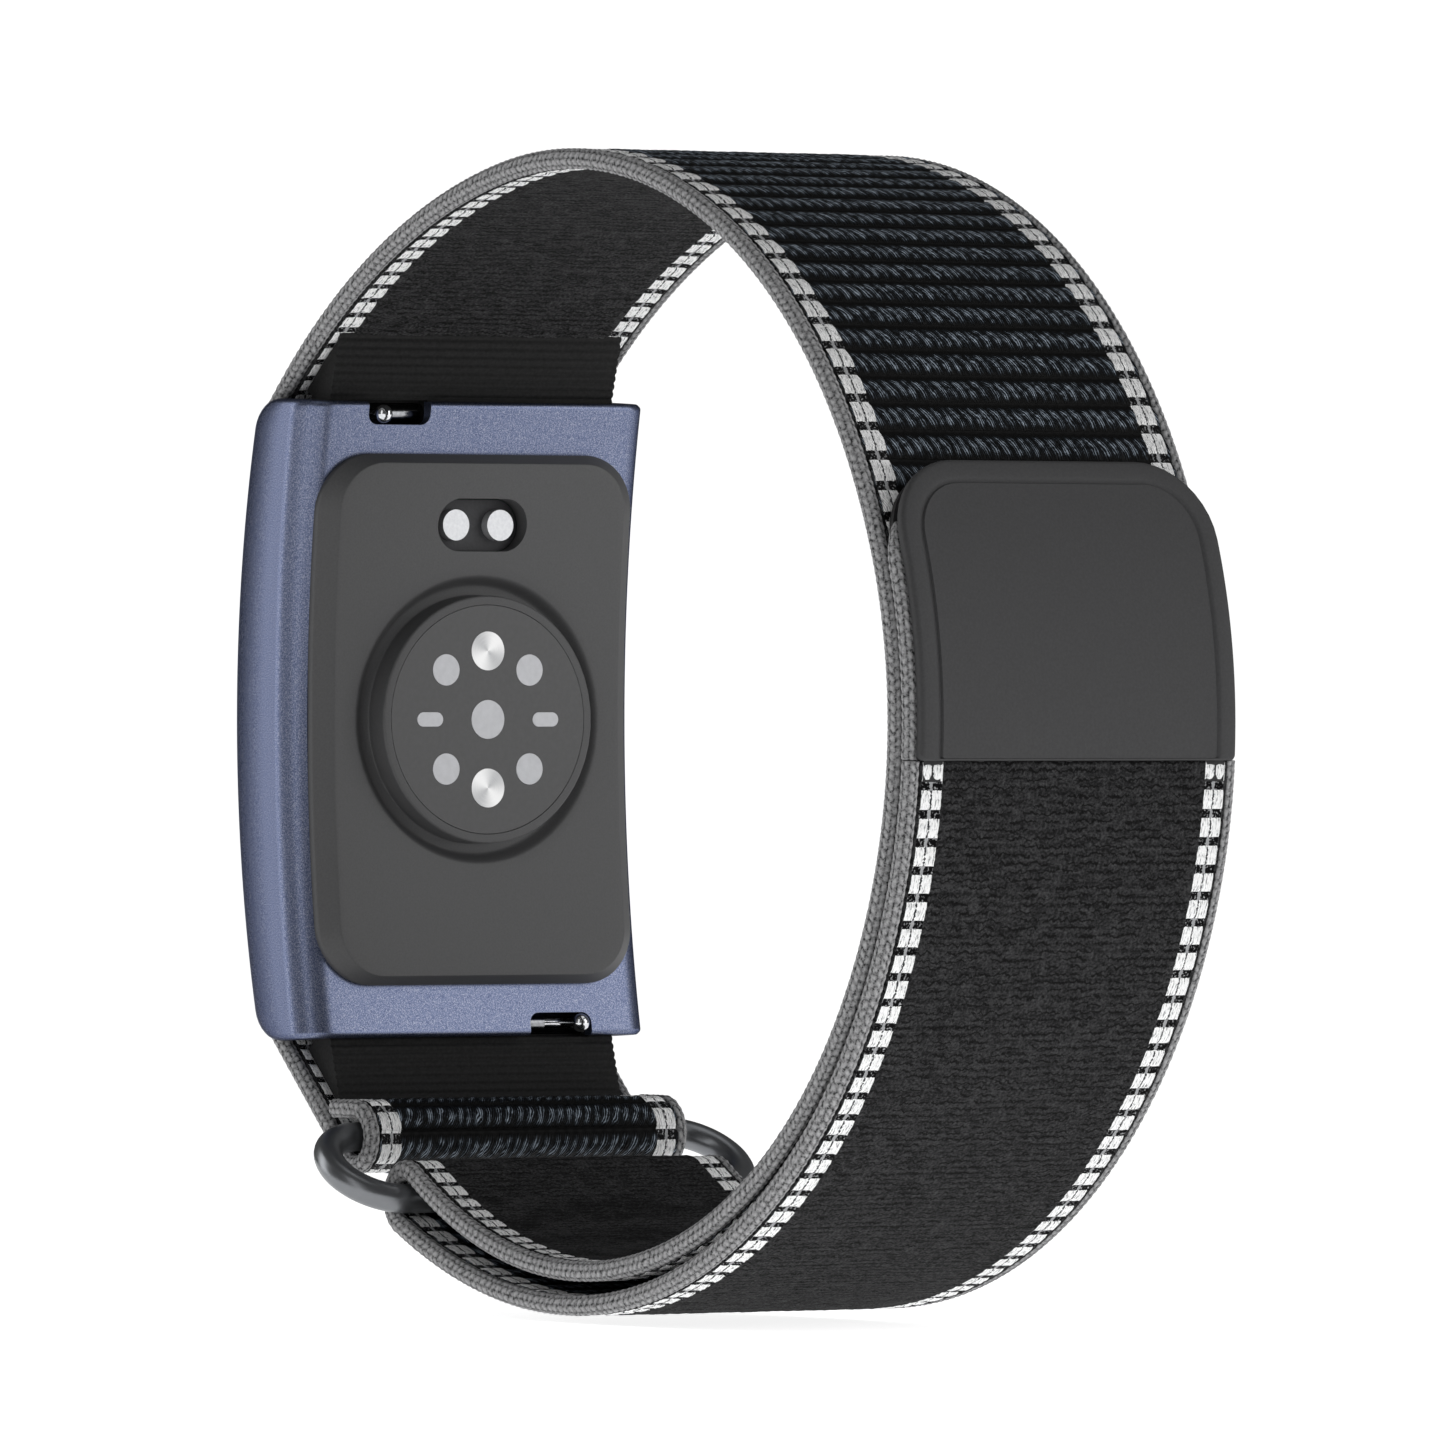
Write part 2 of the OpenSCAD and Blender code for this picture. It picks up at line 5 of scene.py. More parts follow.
import bmesh
import bpy
import numpy as np
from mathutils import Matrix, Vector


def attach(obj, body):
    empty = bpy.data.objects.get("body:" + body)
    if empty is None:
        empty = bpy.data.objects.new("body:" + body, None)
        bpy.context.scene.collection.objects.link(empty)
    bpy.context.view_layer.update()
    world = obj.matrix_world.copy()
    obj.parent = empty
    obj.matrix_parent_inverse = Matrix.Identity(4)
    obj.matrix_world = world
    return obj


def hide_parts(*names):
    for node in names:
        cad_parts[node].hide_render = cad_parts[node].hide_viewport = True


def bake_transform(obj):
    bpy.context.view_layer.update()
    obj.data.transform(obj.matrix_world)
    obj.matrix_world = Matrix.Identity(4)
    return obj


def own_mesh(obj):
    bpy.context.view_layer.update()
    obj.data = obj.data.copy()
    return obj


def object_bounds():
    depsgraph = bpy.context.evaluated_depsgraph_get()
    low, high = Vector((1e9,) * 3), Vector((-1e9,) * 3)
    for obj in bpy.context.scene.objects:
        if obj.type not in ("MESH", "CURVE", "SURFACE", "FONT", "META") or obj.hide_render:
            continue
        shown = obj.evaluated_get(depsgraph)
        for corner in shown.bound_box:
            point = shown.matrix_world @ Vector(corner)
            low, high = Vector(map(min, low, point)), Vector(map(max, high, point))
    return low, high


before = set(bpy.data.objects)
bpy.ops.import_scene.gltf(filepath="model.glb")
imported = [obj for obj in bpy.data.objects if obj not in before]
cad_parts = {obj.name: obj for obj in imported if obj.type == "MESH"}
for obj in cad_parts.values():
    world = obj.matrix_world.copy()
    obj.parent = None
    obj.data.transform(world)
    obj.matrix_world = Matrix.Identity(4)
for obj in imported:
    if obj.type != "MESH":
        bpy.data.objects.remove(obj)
cad_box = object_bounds()

MM = 0.001   # every size below is in millimetres, as in the CAD source

WHITE = (1, 1, 1, 1)

# Tracker case
CASE_W, CASE_T, CASE_HALF = 27.0, 9.1, 21.4
BACK_X, FRONT_X = -35.0, -44.1
BACK_BOW_R, FRONT_BOW_R = 116.0, 80.0
END_TAPER = 0.5   # how much shorter the back is than the front, at each end
SIDE_ROUND_FRONT, SIDE_REACH_FRONT, SIDE_ROUND_BACK = 2.0, 6.0, 2.1
END_ROUND, FRONT_END_RISE, FRONT_END_REACH = 0.4, 2.1, 3.0
POCKET_X = (-37.05, -33.97)
POCKET_HALF_W, POCKET_Z = 11.35, 18.5
STRAP_RECESS_X, STRAP_RECESS_HALF_W, RECESS_FLOOR = (-39.9, -36.95), 12.75, 20.0
NOTCH_Y, NOTCH_Z, NOTCH_ROUND = (3.9, 8.7), 19.3, 0.7
CAVITY = ((-41.9, -36.4), (-11, 11), (-17.3, 17.3))
GLASS_W, GLASS_HALF, GLASS_ROUND, GLASS_EDGE = 22.8, 19.7, 2.9, 0.35
GLASS_SEAT, GLASS_PLAY, GLASS_STEPS = (2.4, -1.5), 0.08, (8, 24)
CUT_BACK_X, CUT_END_Z, CUT_FOOT_X, CUT_LAP = -30.0, CASE_HALF + 2, -36.5, 0.6

# Back cover
COVER_W, COVER_H, COVER_ROUND = 24.4, 34.8, 3.8
SKIRT, PLATEAU_RISE, PLATEAU_SHARE = 0.4, 1.36, 1.08
BEVEL_SIDE, BEVEL_END, BEVEL_ROUND = 1.1, 0.6, 0.6
COVER_SEAT_INSET, COVER_SEAT_ROUND = 0.8, 3
MOAT_R, MOAT_X, MOAT_LIP, MOAT_SLOPE = 9.09, -34.1, 0.45, 0.8
BUMP_R, BUMP_X, BUMP_FOOT_ROUND, BUMP_TOP_ROUND = 8.14, -32.27, 0.12, 0.16
LENS_R, ELECTRODE_Z = 7.5, 4.5
RECESS_W, RECESS_H, RECESS_Z = 6.95, 3.47, 12.77

# Spring bars and sleeves
BAR_X, BAR_Z = -35.4, 20.0
COIL_R, WIRE_R, COIL_FOOT, COIL_END, COIL_SLACK = 0.34, 0.07, 2.4, 5.4, 0.03
COIL_TURNS, COIL_STEPS, WIRE_SIDES, COIL_KEEP = 6, 12, 6, 0.55
SLEEVE_HALF, SLEEVE_RIB, SLEEVE_GROOVE, SLEEVE_GAP = 11.0, 0.56, 0.14, 0.03
SEAT_R, BORE_R, KNOB_PLAY = 1.2, 0.8, 0.4
SLEEVE_TIP_UPPER, SLEEVE_TIP_LOWER = (-32.85, 25.7), (-32.95, 25.3)

# Band: a start pose and arcs of (radius, turn in degrees), a left turn being positive
BAND_START, BAND_HEADING = (-38.0, 21.8), 43.4
BAND_ARCS = ((52, -32.9), (38, -80.7), (32, -34.4), (36, -108))
BAND_T, BAND_HALF, WEAVE_HALF = 1.4, 12.5, 11.6
LAY_PITCH, FOLD_R, FOLD_LEAD, FOLD_CORE = 1.62, 1.84, 4.0, 0.75
TAIL_CLOSE = 16.0
TAIL_LEN, TAB_LEN, TAB_GAP = 73.75, 18.0, 0.05
STRAP_LEAD, MITRE, END_LEVEL = 1.5, 3.0, 20.7
TAB_HALF, TAB_ROUND, TAB_SKIN, TAB_EDGE, TAB_STEPS = 11.95, 5.0, 0.5, 0.32, (10, 24)
TAB_LEDGE, TAB_LINE_AT, TAB_LINE_W, HOOK_T = 0.7, 1.45, 0.15, 0.55
HINGE_LAP, HINGE_HALF, HINGE_DEPTHS = 1.2, 11.4, (-0.62, -0.3)
HINGE_STEP, HINGE_BEND = 0.15, 3   # three steps either side of the joint
RING_BAR_R, RING_PITCH, RING_HALF, RING_TILT = 0.95, 7.2, 12.0, 147.4
KEEPER_HEADING, KEEPER_STRAIGHT, KEEPER_RETURN = -43.6, 9.7, 2.6
KEEPER_T, KEEPER_ROLL_R = 1.25, 1.82

# Fabric detail
RIB_PITCH, SHORT_STRAP_PITCH, PILE_PITCH, RIB_DEPTH = 2.1, 1.77, 1.67, 0.3
YARN_PITCH, YARN_DEPTH, YARN_SLANT = 0.76, 0.11, 1.15
DASH_IN, DASH_OUT, DASH_SHARE = 9.95, 11.45, 0.68
DASH_SINK, DASH_PILLOW, DASH_END_DEPTH, DASH_END_FADE = 0.05, 0.07, 0.1, 0.08
PILE_ROW, PILE_STITCH, PILE_DEPTH = 0.46, 1.1, 0.12
STITCH_PITCH, STITCH_LEGS, STITCH_DEPTH = 0.6, 8, 0.12
LEAN_SEED, JITTER_SEED, GLOSS_SEED, CORD_SEED, NOISE_CELLS = 5, 7, 11, 31, 256
WANDER_SEED, SHIVER_SEED, LOOP_SEED, TUFT_SEED = 21, 22, 23, 24

Line = namedtuple("Line", "points normals along")


# ---- curves

def left_of(heading):
    """Unit vectors to the left of headings in degrees, in the X-Z plane."""
    a = np.radians(heading)
    return np.stack([-np.sin(a), np.cos(a)], axis=-1)


def walk(s):
    """Middle points and headings of the long band, at distances s from its start."""
    point, heading, done = np.array(BAND_START), BAND_HEADING, 0.0
    points, headings = np.zeros((len(s), 2)), np.zeros(len(s))
    for radius, turn in BAND_ARCS:
        length = radius * radians(abs(turn))
        here = s >= done - 1e-9 if done else np.ones(len(s), bool)
        side = copysign(radius, turn)
        centre = point + side * left_of(heading)
        headings[here] = heading + turn * (s[here] - done) / length
        points[here] = centre - side * left_of(headings[here])
        heading += turn
        point = centre - side * left_of(heading)
        done += length
    return points, headings


BAND_LEN = sum(r * radians(abs(turn)) for r, turn in BAND_ARCS)
END_POINT, END_HEADING = (value[0] for value in walk(np.array([BAND_LEN])))
LOWER_BAR = END_POINT + FOLD_R * left_of(END_HEADING)
TILT = radians(RING_TILT)
UPPER_BAR = LOWER_BAR + RING_PITCH * np.array([cos(TILT), sin(TILT)])
KEEPER_WAY = -left_of(KEEPER_HEADING + 90)
KEEPER_START = UPPER_BAR - KEEPER_ROLL_R * left_of(KEEPER_HEADING) - KEEPER_STRAIGHT * KEEPER_WAY
TAB_S1 = BAND_LEN - TAIL_LEN
TAB_S0 = TAB_S1 - TAB_LEN


def stations(start, end, step):
    """Even distances from start to end, about a step apart."""
    return np.linspace(start, end, max(2, round(abs(end - start) / step) + 1))


def tail_gap(s):
    """Distance from the middle of the long band to the middle of the outer run over it."""
    return LAY_PITCH + (2 * FOLD_R - LAY_PITCH) * np.exp((s - BAND_LEN) / TAIL_CLOSE)


def along_run(s):
    """Distance along the cloth of the outer run, counted on round the fold."""
    return 2 * BAND_LEN + pi * FOLD_R - s


def band_line(start, end, step):
    """A stretch of the long band; normals point out of its ribbed side."""
    s = stations(start, end, step)
    points, headings = walk(s)
    return Line(points, left_of(headings), s)


def run_line(start, end, step):
    """A stretch of the outer run, whose ribbed side faces the long band."""
    line = band_line(start, end, step)
    middle = line.points + tail_gap(line.along)[:, None] * line.normals
    return Line(middle, -line.normals, along_run(line.along))


def arc_line(centre, radius, start, end, step, along):
    """A stretch rolled round a ring bar, its normals pointing away from the bar."""
    a = np.radians(stations(start, end, degrees(step / radius)))
    out = np.column_stack([np.cos(a), np.sin(a)])
    return Line(centre + radius * out, out, along + radius * np.abs(a - a[0]))


def straight_line(start, way, length, normal, step, along):
    """A straight stretch from a point, with one normal throughout."""
    s = stations(0, length, step)
    points = np.asarray(start) + s[:, None] * way
    return Line(points, np.repeat([normal], len(s), axis=0), along + s)


def joined(*lines):
    """Lines end to end as one, with the shared stations once."""
    parts = [lines[0]] + [Line(*(value[1:] for value in line)) for line in lines[1:]]
    return Line(*(np.concatenate(values) for values in zip(*parts)))


def fold_line(step):
    """Round the ring's lower bar, from the long band to the outer run."""
    lead = band_line(BAND_LEN - FOLD_LEAD, BAND_LEN, step)
    turn = arc_line(LOWER_BAR, FOLD_R, END_HEADING - 90, END_HEADING + 90, step, BAND_LEN)
    out = run_line(BAND_LEN, BAND_LEN - FOLD_LEAD, step)
    return joined(lead, Line(turn.points, -turn.normals, turn.along), out)


def keeper_line(step):
    """The short strap, from its sleeve round the ring's upper bar."""
    right = -left_of(KEEPER_HEADING)
    start = KEEPER_START - STRAP_LEAD * KEEPER_WAY
    lead = straight_line(start, KEEPER_WAY, KEEPER_STRAIGHT + STRAP_LEAD, right, step, -STRAP_LEAD)
    turn = arc_line(UPPER_BAR, KEEPER_ROLL_R, KEEPER_HEADING - 90, 90, step, KEEPER_STRAIGHT)
    back = straight_line(turn.points[-1], np.array([-1.0, 0.0]), KEEPER_RETURN, turn.normals[-1],
                         step, turn.along[-1])
    return joined(lead, turn, back)


def back_bow(z, rise=0.0):
    """X of the tracker's bowed back at height z, raised towards the wrist."""
    return BACK_BOW_R + BACK_X - np.sqrt((BACK_BOW_R - rise) ** 2 - z * z)


def front_bow(z, inset=0.0):
    """X of the tracker's bowed front at height z, sunk towards the wrist."""
    return FRONT_BOW_R + FRONT_X - np.sqrt((FRONT_BOW_R - inset) ** 2 - z * z)


def round_off(r, turns):
    """Steps inwards and downwards at a rounded edge of radius r, from its side to its top."""
    return [(r * (1 - cos(a)), r * (1 - sin(a))) for a in np.radians(turns)]


def rounded_loop(half, low, high, r_low, r_high, corner=6, side=12, reach=None):
    """Outline of a rounded rectangle, as points of (across, along); reach stretches its low corners."""
    reach = reach or r_low
    corners = ((half - r_high, high - r_high, r_high, r_high, 0),
               (r_high - half, high - r_high, r_high, r_high, 90),
               (r_low - half, low + reach, r_low, reach, 180),
               (half - r_low, low + reach, r_low, reach, 270))
    arcs = []
    for across, along, r, tall, turn in corners:
        a = np.radians(np.linspace(turn, turn + 90, corner + 1))
        arcs.append(np.column_stack([across + r * np.cos(a), along + tall * np.sin(a)]))
    loop = []
    for arc, following in zip(arcs, arcs[1:] + arcs[:1]):
        loop += [arc, np.linspace(arc[-1], following[0], side + 2)[1:-1]]
    return np.concatenate(loop)


# ---- noise, seeded

def lattice(seed):
    """A square of random numbers, the same for the same seed."""
    return np.random.default_rng(seed).random((NOISE_CELLS, NOISE_CELLS))


def value_noise(u, v, seed):
    """Smooth noise from 0 to 1, one cell a unit wide."""
    grid = lattice(seed)
    u, v = np.broadcast_arrays(u, v)
    u0, v0 = np.floor(u).astype(int), np.floor(v).astype(int)
    fu, fv = u - u0, v - v0
    fu, fv = fu * fu * (3 - 2 * fu), fv * fv * (3 - 2 * fv)
    n = len(grid)
    a, b = grid[u0 % n, v0 % n], grid[(u0 + 1) % n, v0 % n]
    c, d = grid[u0 % n, (v0 + 1) % n], grid[(u0 + 1) % n, (v0 + 1) % n]
    return (a * (1 - fu) + b * fu) * (1 - fv) + (c * (1 - fu) + d * fu) * fv


# ---- meshes

def loop_faces(rows, columns, ring=False):
    """Quads between neighbouring closed loops of points."""
    r = np.arange(rows if ring else rows - 1)[:, None]
    c = np.arange(columns)[None, :]
    following, above = (c + 1) % columns, ((r + 1) % rows) * columns
    return np.stack([r * columns + c, r * columns + following, above + following, above + c],
                    axis=-1).reshape(-1, 4).tolist()


def strip_cap(corner, side):
    """Faces across a rounded outline, in strips that follow a bowed surface."""
    count, pair = 4 * (corner + side + 1), 2 * corner + side + 1
    first, last = corner + side + 2, 3 * corner + 2 * side + 1
    faces = [[i, i + 1, (pair - i - 1) % count, (pair - i) % count] for i in range(first, last)]
    return faces + [list(range(corner - 1, first + 1)), list(range(last, last + side + 4))]


def capped(rows, columns, cap=None):
    """Faces between loops and across both ends."""
    cap = cap or [list(range(columns))]
    last = (rows - 1) * columns
    return loop_faces(rows, columns) + cap + [[last + i for i in face] for face in cap]


def stacked(loops, cap=None):
    """Points and faces of a closed stack of loops."""
    return np.concatenate(loops), capped(len(loops), len(loops[0]), cap)


def placed(name, data):
    """A new object in the scene."""
    obj = bpy.data.objects.new(name, data)
    bpy.context.collection.objects.link(obj)
    return obj


def build(name, vertices, faces, fields=None, sharp=None):
    """A mesh object from points in millimetres, its faces turned outwards and smooth."""
    mesh = bpy.data.meshes.new(name)
    mesh.from_pydata((np.asarray(vertices, float).reshape(-1, 3) * MM).tolist(), [], faces)
    for key, values in (fields or {}).items():
        mesh.attributes.new(key, "FLOAT", "POINT").data.foreach_set("value", np.ravel(values))
    shell = bmesh.new()
    shell.from_mesh(mesh)
    bmesh.ops.recalc_face_normals(shell, faces=shell.faces)
    shell.to_mesh(mesh)
    shell.free()
    mesh.shade_smooth()
    if sharp:
        mesh.set_sharp_from_angle(angle=radians(sharp))
    return placed(name, mesh)


def finish_piece(obj, materials, replaced=(), body=None):
    """Gives a piece its materials, hides the CAD nodes it stands for and parents it to its body."""
    for material in materials:
        obj.data.materials.append(material)
    if replaced:
        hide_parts(*replaced)
    if body:
        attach(obj, body)


def cut(obj, cutters, sharp):
    """Cuts closed meshes out of a piece, for good."""
    for cutter in cutters:
        modifier = obj.modifiers.new("cut", "BOOLEAN")
        modifier.operation = "DIFFERENCE"
        modifier.solver = "EXACT"
        modifier.object = cutter
    graph = bpy.context.evaluated_depsgraph_get()
    mesh = bpy.data.meshes.new_from_object(obj.evaluated_get(graph))
    obj.modifiers.clear()
    obj.data = mesh
    mesh.shade_smooth()
    mesh.set_sharp_from_angle(angle=radians(sharp))
    for cutter in cutters:
        bpy.data.objects.remove(cutter)


def prism(name, outline, start, end, axis):
    """A closed prism whose outline lies across an axis; the outline's points keep X, Y, Z order."""
    loops = []
    for place in (start, end):
        loops.append(np.insert(np.asarray(outline, float), axis, place, axis=1))
    return build(name, *stacked(loops))


def box(name, x, y, z):
    """A closed box between pairs of X, Y and Z."""
    outline = [(x[0], y[0]), (x[1], y[0]), (x[1], y[1]), (x[0], y[1])]
    return prism(name, outline, z[0], z[1], 2)


# ---- band fabric

def dash_shape(ribs, v):
    """Depth of the stitched edge dashes below the cloth's crest, and where they are."""
    place = np.abs(v)
    inside = (place > DASH_IN) & (place < DASH_OUT)
    across = (place - DASH_IN) / (DASH_OUT - DASH_IN) * 2
    pillow = np.sqrt(np.clip(1 - (2 * (across % 1) - 1) ** 2, 0, 1))
    f = ribs % 1
    dash = np.clip(np.minimum(f, DASH_SHARE - f) / DASH_END_FADE, 0, 1)
    return DASH_SINK + DASH_PILLOW * (1 - pillow) + DASH_END_DEPTH * (1 - dash), inside


def ribbed(ribs, v):
    """Depth below the crest of the cross ribs of slanted yarns, and the yarns counted along a rib."""
    row = np.floor(ribs)
    f = ribs % 1 - 0.5
    rib = np.sqrt(np.clip(1 - (2 * f) ** 2, 0, 1))
    lean = -YARN_SLANT * (1 - (0.5 - f) ** 2) + 0.4 * value_noise(row * 0.63, v * 0.11, LEAN_SEED)
    jitter = 0.45 * value_noise(row * 1.7, v / 1.9, JITTER_SEED)
    count = v / YARN_PITCH + lean + jitter + row * 0.37
    yarn = (0.5 + 0.5 * np.cos(2 * pi * count)) ** 0.6
    uneven = 0.75 + 0.25 * value_noise(row, v / YARN_PITCH, GLOSS_SEED)
    depth = RIB_DEPTH * (1 - rib) + YARN_DEPTH * (1 - yarn * uneven)
    dash_depth, inside = dash_shape(ribs, v)
    return np.where(inside, dash_depth, depth), count


def piled(u, ribs, v):
    """Depth below the crest of the looped pile's short uneven rows, and how close to a crest."""
    wander = 0.9 * value_noise(u / 2.3, v / 2.9, WANDER_SEED)
    wander = wander + 0.25 * value_noise(u / 0.5, v / 0.7, SHIVER_SEED)
    row = np.floor(u / PILE_ROW + wander)
    f = (u / PILE_ROW + wander) % 1 - 0.5
    ridge = 1 - (2 * f) ** 2
    loops = value_noise(row * 1.37, v / (PILE_STITCH * 0.36) + row * 0.61, LOOP_SEED)
    tuft = value_noise(u / 0.34, v / 0.42, TUFT_SEED)
    crest = np.clip(0.45 * ridge + 0.35 * loops + 0.3 * tuft, 0, 1)
    dash_depth, inside = dash_shape(ribs, v)
    return np.where(inside, dash_depth, PILE_DEPTH * (1 - crest)), np.where(inside, 0.8, crest)


def laid(line, offset):
    """X and Z at offsets from a line; a strap's start slants to end level with the tracker's end."""
    x = line.points[:, :1] + line.normals[:, :1] * offset
    z = line.points[:, 1:] + line.normals[:, 1:] * offset
    if line.along[0] >= 0:
        return x, z
    way = line.points[1] - line.points[0]
    way = way / np.linalg.norm(way)
    reach = (copysign(END_LEVEL, z[0, 0]) - z[0]) / way[1]
    fade = np.clip(1 - (line.along - line.along[0]) / MITRE, 0, 1)[:, None]
    return x + way[0] * reach * fade, z + way[1] * reach * fade


def cloth(look, name, line, thick, fineness, replaced=(), body=None, pitch=RIB_PITCH):
    """A closed length of band: ribbed on the side its normals point to, pile on the other."""
    y_rib = np.linspace(-WEAVE_HALF, WEAVE_HALF, fineness[0])
    y_pile = np.linspace(WEAVE_HALF, -WEAVE_HALF, fineness[1])
    u = line.along[:, None]
    ribs, pile_ribs = u / pitch + 0 * y_rib, u / PILE_PITCH + 0 * y_pile
    rib_depth, yarns = ribbed(ribs, y_rib[None, :])
    pile_depth, pile_crest = piled(u, pile_ribs, y_pile[None, :])
    offset = np.concatenate([thick / 2 - rib_depth, pile_depth - thick / 2], axis=1)
    y = np.broadcast_to(np.concatenate([y_rib, y_pile]), offset.shape)
    x, z = laid(line, offset)
    fields = {
        "along": np.broadcast_to(u, offset.shape),
        "ribs": np.concatenate([ribs, pile_ribs], axis=1),
        "across": y,
        "crest": np.concatenate([np.ones_like(yarns), pile_crest], axis=1),
        "yarns": np.concatenate([yarns, np.zeros_like(pile_crest)], axis=1),
    }
    rows, columns = offset.shape
    obj = build(name, np.stack([x, y, z], axis=-1), capped(rows, columns), fields)
    side = np.tile(np.arange(columns) >= fineness[0], rows - 1).astype(int)
    obj.data.polygons.foreach_set("material_index", np.append(side, [1, 1]))
    finish_piece(obj, [look["weave"], look["pile"]], replaced, body)
    return obj


def piping(look, name, line, thick, replaced=(), body=None, taper=0.0):
    """The knitted cord along both edges of a length of band, tapering inwards over its last part."""
    around = STITCH_LEGS * 3
    a = np.linspace(0, 2 * pi, around, endpoint=False)[None, :]
    leg = a / (2 * pi) * STITCH_LEGS
    t, turn = leg % 1, np.where(np.floor(leg) % 2 > 0, 1, -1)
    u = line.along[:, None]
    jitter = 0.5 * value_noise(u / 0.7, leg / 1.1 + 0 * u, CORD_SEED)
    wave = 0.5 + 0.5 * np.cos(2 * pi * (u / STITCH_PITCH + 0.5 * turn * t + jitter))
    crest = np.sin(pi * (t * 0.8 + 0.1)) * (0.3 + 0.7 * wave)
    shrink = 1 - STITCH_DEPTH * (1 - crest)
    half_w, half_t = (BAND_HALF - WEAVE_HALF) / 2 + 0.08, thick / 2
    ending = np.clip(1 - np.abs(line.along[-1] - u) / taper, 0, 1) if taper else 0 * u
    shrink = shrink * np.sqrt(1 - 0.96 * ending ** 2)
    offset = half_t * shrink * np.sin(a)
    x, z = laid(line, offset)
    vertices, faces = [], []
    rows = len(line.along)
    for side in (-1, 1):
        y = side * (BAND_HALF - half_w - half_w * ending ** 2 + half_w * shrink * np.cos(a))
        base = len(vertices) * rows * around
        vertices.append(np.stack([x, np.broadcast_to(y, x.shape), z], axis=-1).reshape(-1, 3))
        faces += [[base + i for i in face] for face in capped(rows, around)]
    fields = {"along": np.tile(np.broadcast_to(u, x.shape).ravel(), 2),
              "crest": np.tile(np.broadcast_to(crest, x.shape).ravel(), 2)}
    obj = build(name, np.concatenate(vertices), faces, fields)
    finish_piece(obj, [look["piping"]], replaced, body)
    return obj


def make_band(look):
    """The long band, its fold round the ring, the outer run and the short strap."""
    fine, plain, cord_step = RIB_PITCH / 8, RIB_PITCH / 5, STITCH_PITCH / 5
    fold_s = BAND_LEN - FOLD_LEAD
    cloth(look, "long_band_upper", band_line(-STRAP_LEAD, TAB_S1, fine), BAND_T, (137, 60),
          ["long_band"], "band")
    cloth(look, "long_band_lower", band_line(TAB_S1, fold_s, plain), BAND_T, (60, 90),
          body="band")
    piping(look, "long_band_edging", band_line(-STRAP_LEAD, fold_s, cord_step), BAND_T,
           ["long_band_piping"], "band")

    cloth(look, "outer_run", run_line(fold_s, TAB_S1, fine), BAND_T, (60, 110),
          ["tail_band"], "tail")
    piping(look, "outer_run_edging", run_line(fold_s, TAB_S1, cord_step), BAND_T,
           ["tail_band_piping"], "tail")

    cloth(look, "short_strap", keeper_line(fine / 1.6), KEEPER_T, (137, 60),
          ["keeper_band"], "keeper", SHORT_STRAP_PITCH)
    piping(look, "short_strap_edging", keeper_line(cord_step), KEEPER_T + 0.05,
           ["keeper_band_piping"], "keeper")

    fold = cloth(look, "fold_round_ring", fold_line(fine), BAND_T, (90, 90), ["band_fold"])
    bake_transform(fold)
    edge = piping(look, "fold_edging", fold_line(cord_step), BAND_T, ["band_fold_piping"])
    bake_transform(edge)


# ---- spring bars

def make_coil(look, place, side):
    """A spring bar's coil."""
    turn = 2 * pi * np.linspace(0, COIL_TURNS, COIL_STEPS * COIL_TURNS + 1)[:, None]
    around = 2 * pi * np.arange(WIRE_SIDES)[None, :] / WIRE_SIDES
    r = COIL_R + WIRE_R * np.cos(around)
    low, high = COIL_FOOT + WIRE_R + COIL_SLACK, COIL_END - WIRE_R - COIL_SLACK
    reach = low + (high - low) * turn / turn[-1] + WIRE_R * np.sin(around)
    loops = np.stack([BAR_X + r * np.cos(turn), -side * reach, side * BAR_Z + r * np.sin(turn)], axis=-1)
    coil = build(place + "_coil", *stacked(loops))
    finish_piece(coil, [look["steel"]], [place + "_bar_spring"], "tracker")
    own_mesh(coil)


# ---- end tab

def make_tab_hinge(look):
    """The thin strip of cloth inside the outer run's end and the tab."""
    line = run_line(TAB_S1 + HINGE_LAP, TAB_S1 - HINGE_LAP, HINGE_STEP)
    low, high = HINGE_DEPTHS
    corners = ((-HINGE_HALF, low), (HINGE_HALF, low), (HINGE_HALF, high), (-HINGE_HALF, high))
    loops = []
    for point, normal in zip(line.points, line.normals):
        loops.append([(point[0] + depth * normal[0], across, point[1] + depth * normal[1])
                      for across, depth in corners])
    strip = build("tab_hinge_strip", *stacked(loops), sharp=40)
    finish_piece(strip, [look["hook"]])
    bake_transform(strip)


def bent(loop, offset):
    """Points of (across, distance along the band) laid on the band at an offset from its middle."""
    points, headings = walk(loop[:, 1])
    flat = points + offset * left_of(headings)
    return np.column_stack([flat[:, 0], loop[:, 0], flat[:, 1]])


def tab_stack(half, top, bottom, corner, levels):
    """Stack of rounded outlines bent onto the band; levels are (inset, inset at the foot, offset)."""
    loops = []
    for inset, foot, offset in levels:
        r_top, r_foot = max(corner - inset, 0.3), max(0.35 - foot, 0.05)
        loop = rounded_loop(half - inset, top + inset, bottom - foot, r_top, r_foot, *TAB_STEPS)
        loops.append(bent(loop, offset))
    return stacked(loops, strip_cap(*TAB_STEPS))


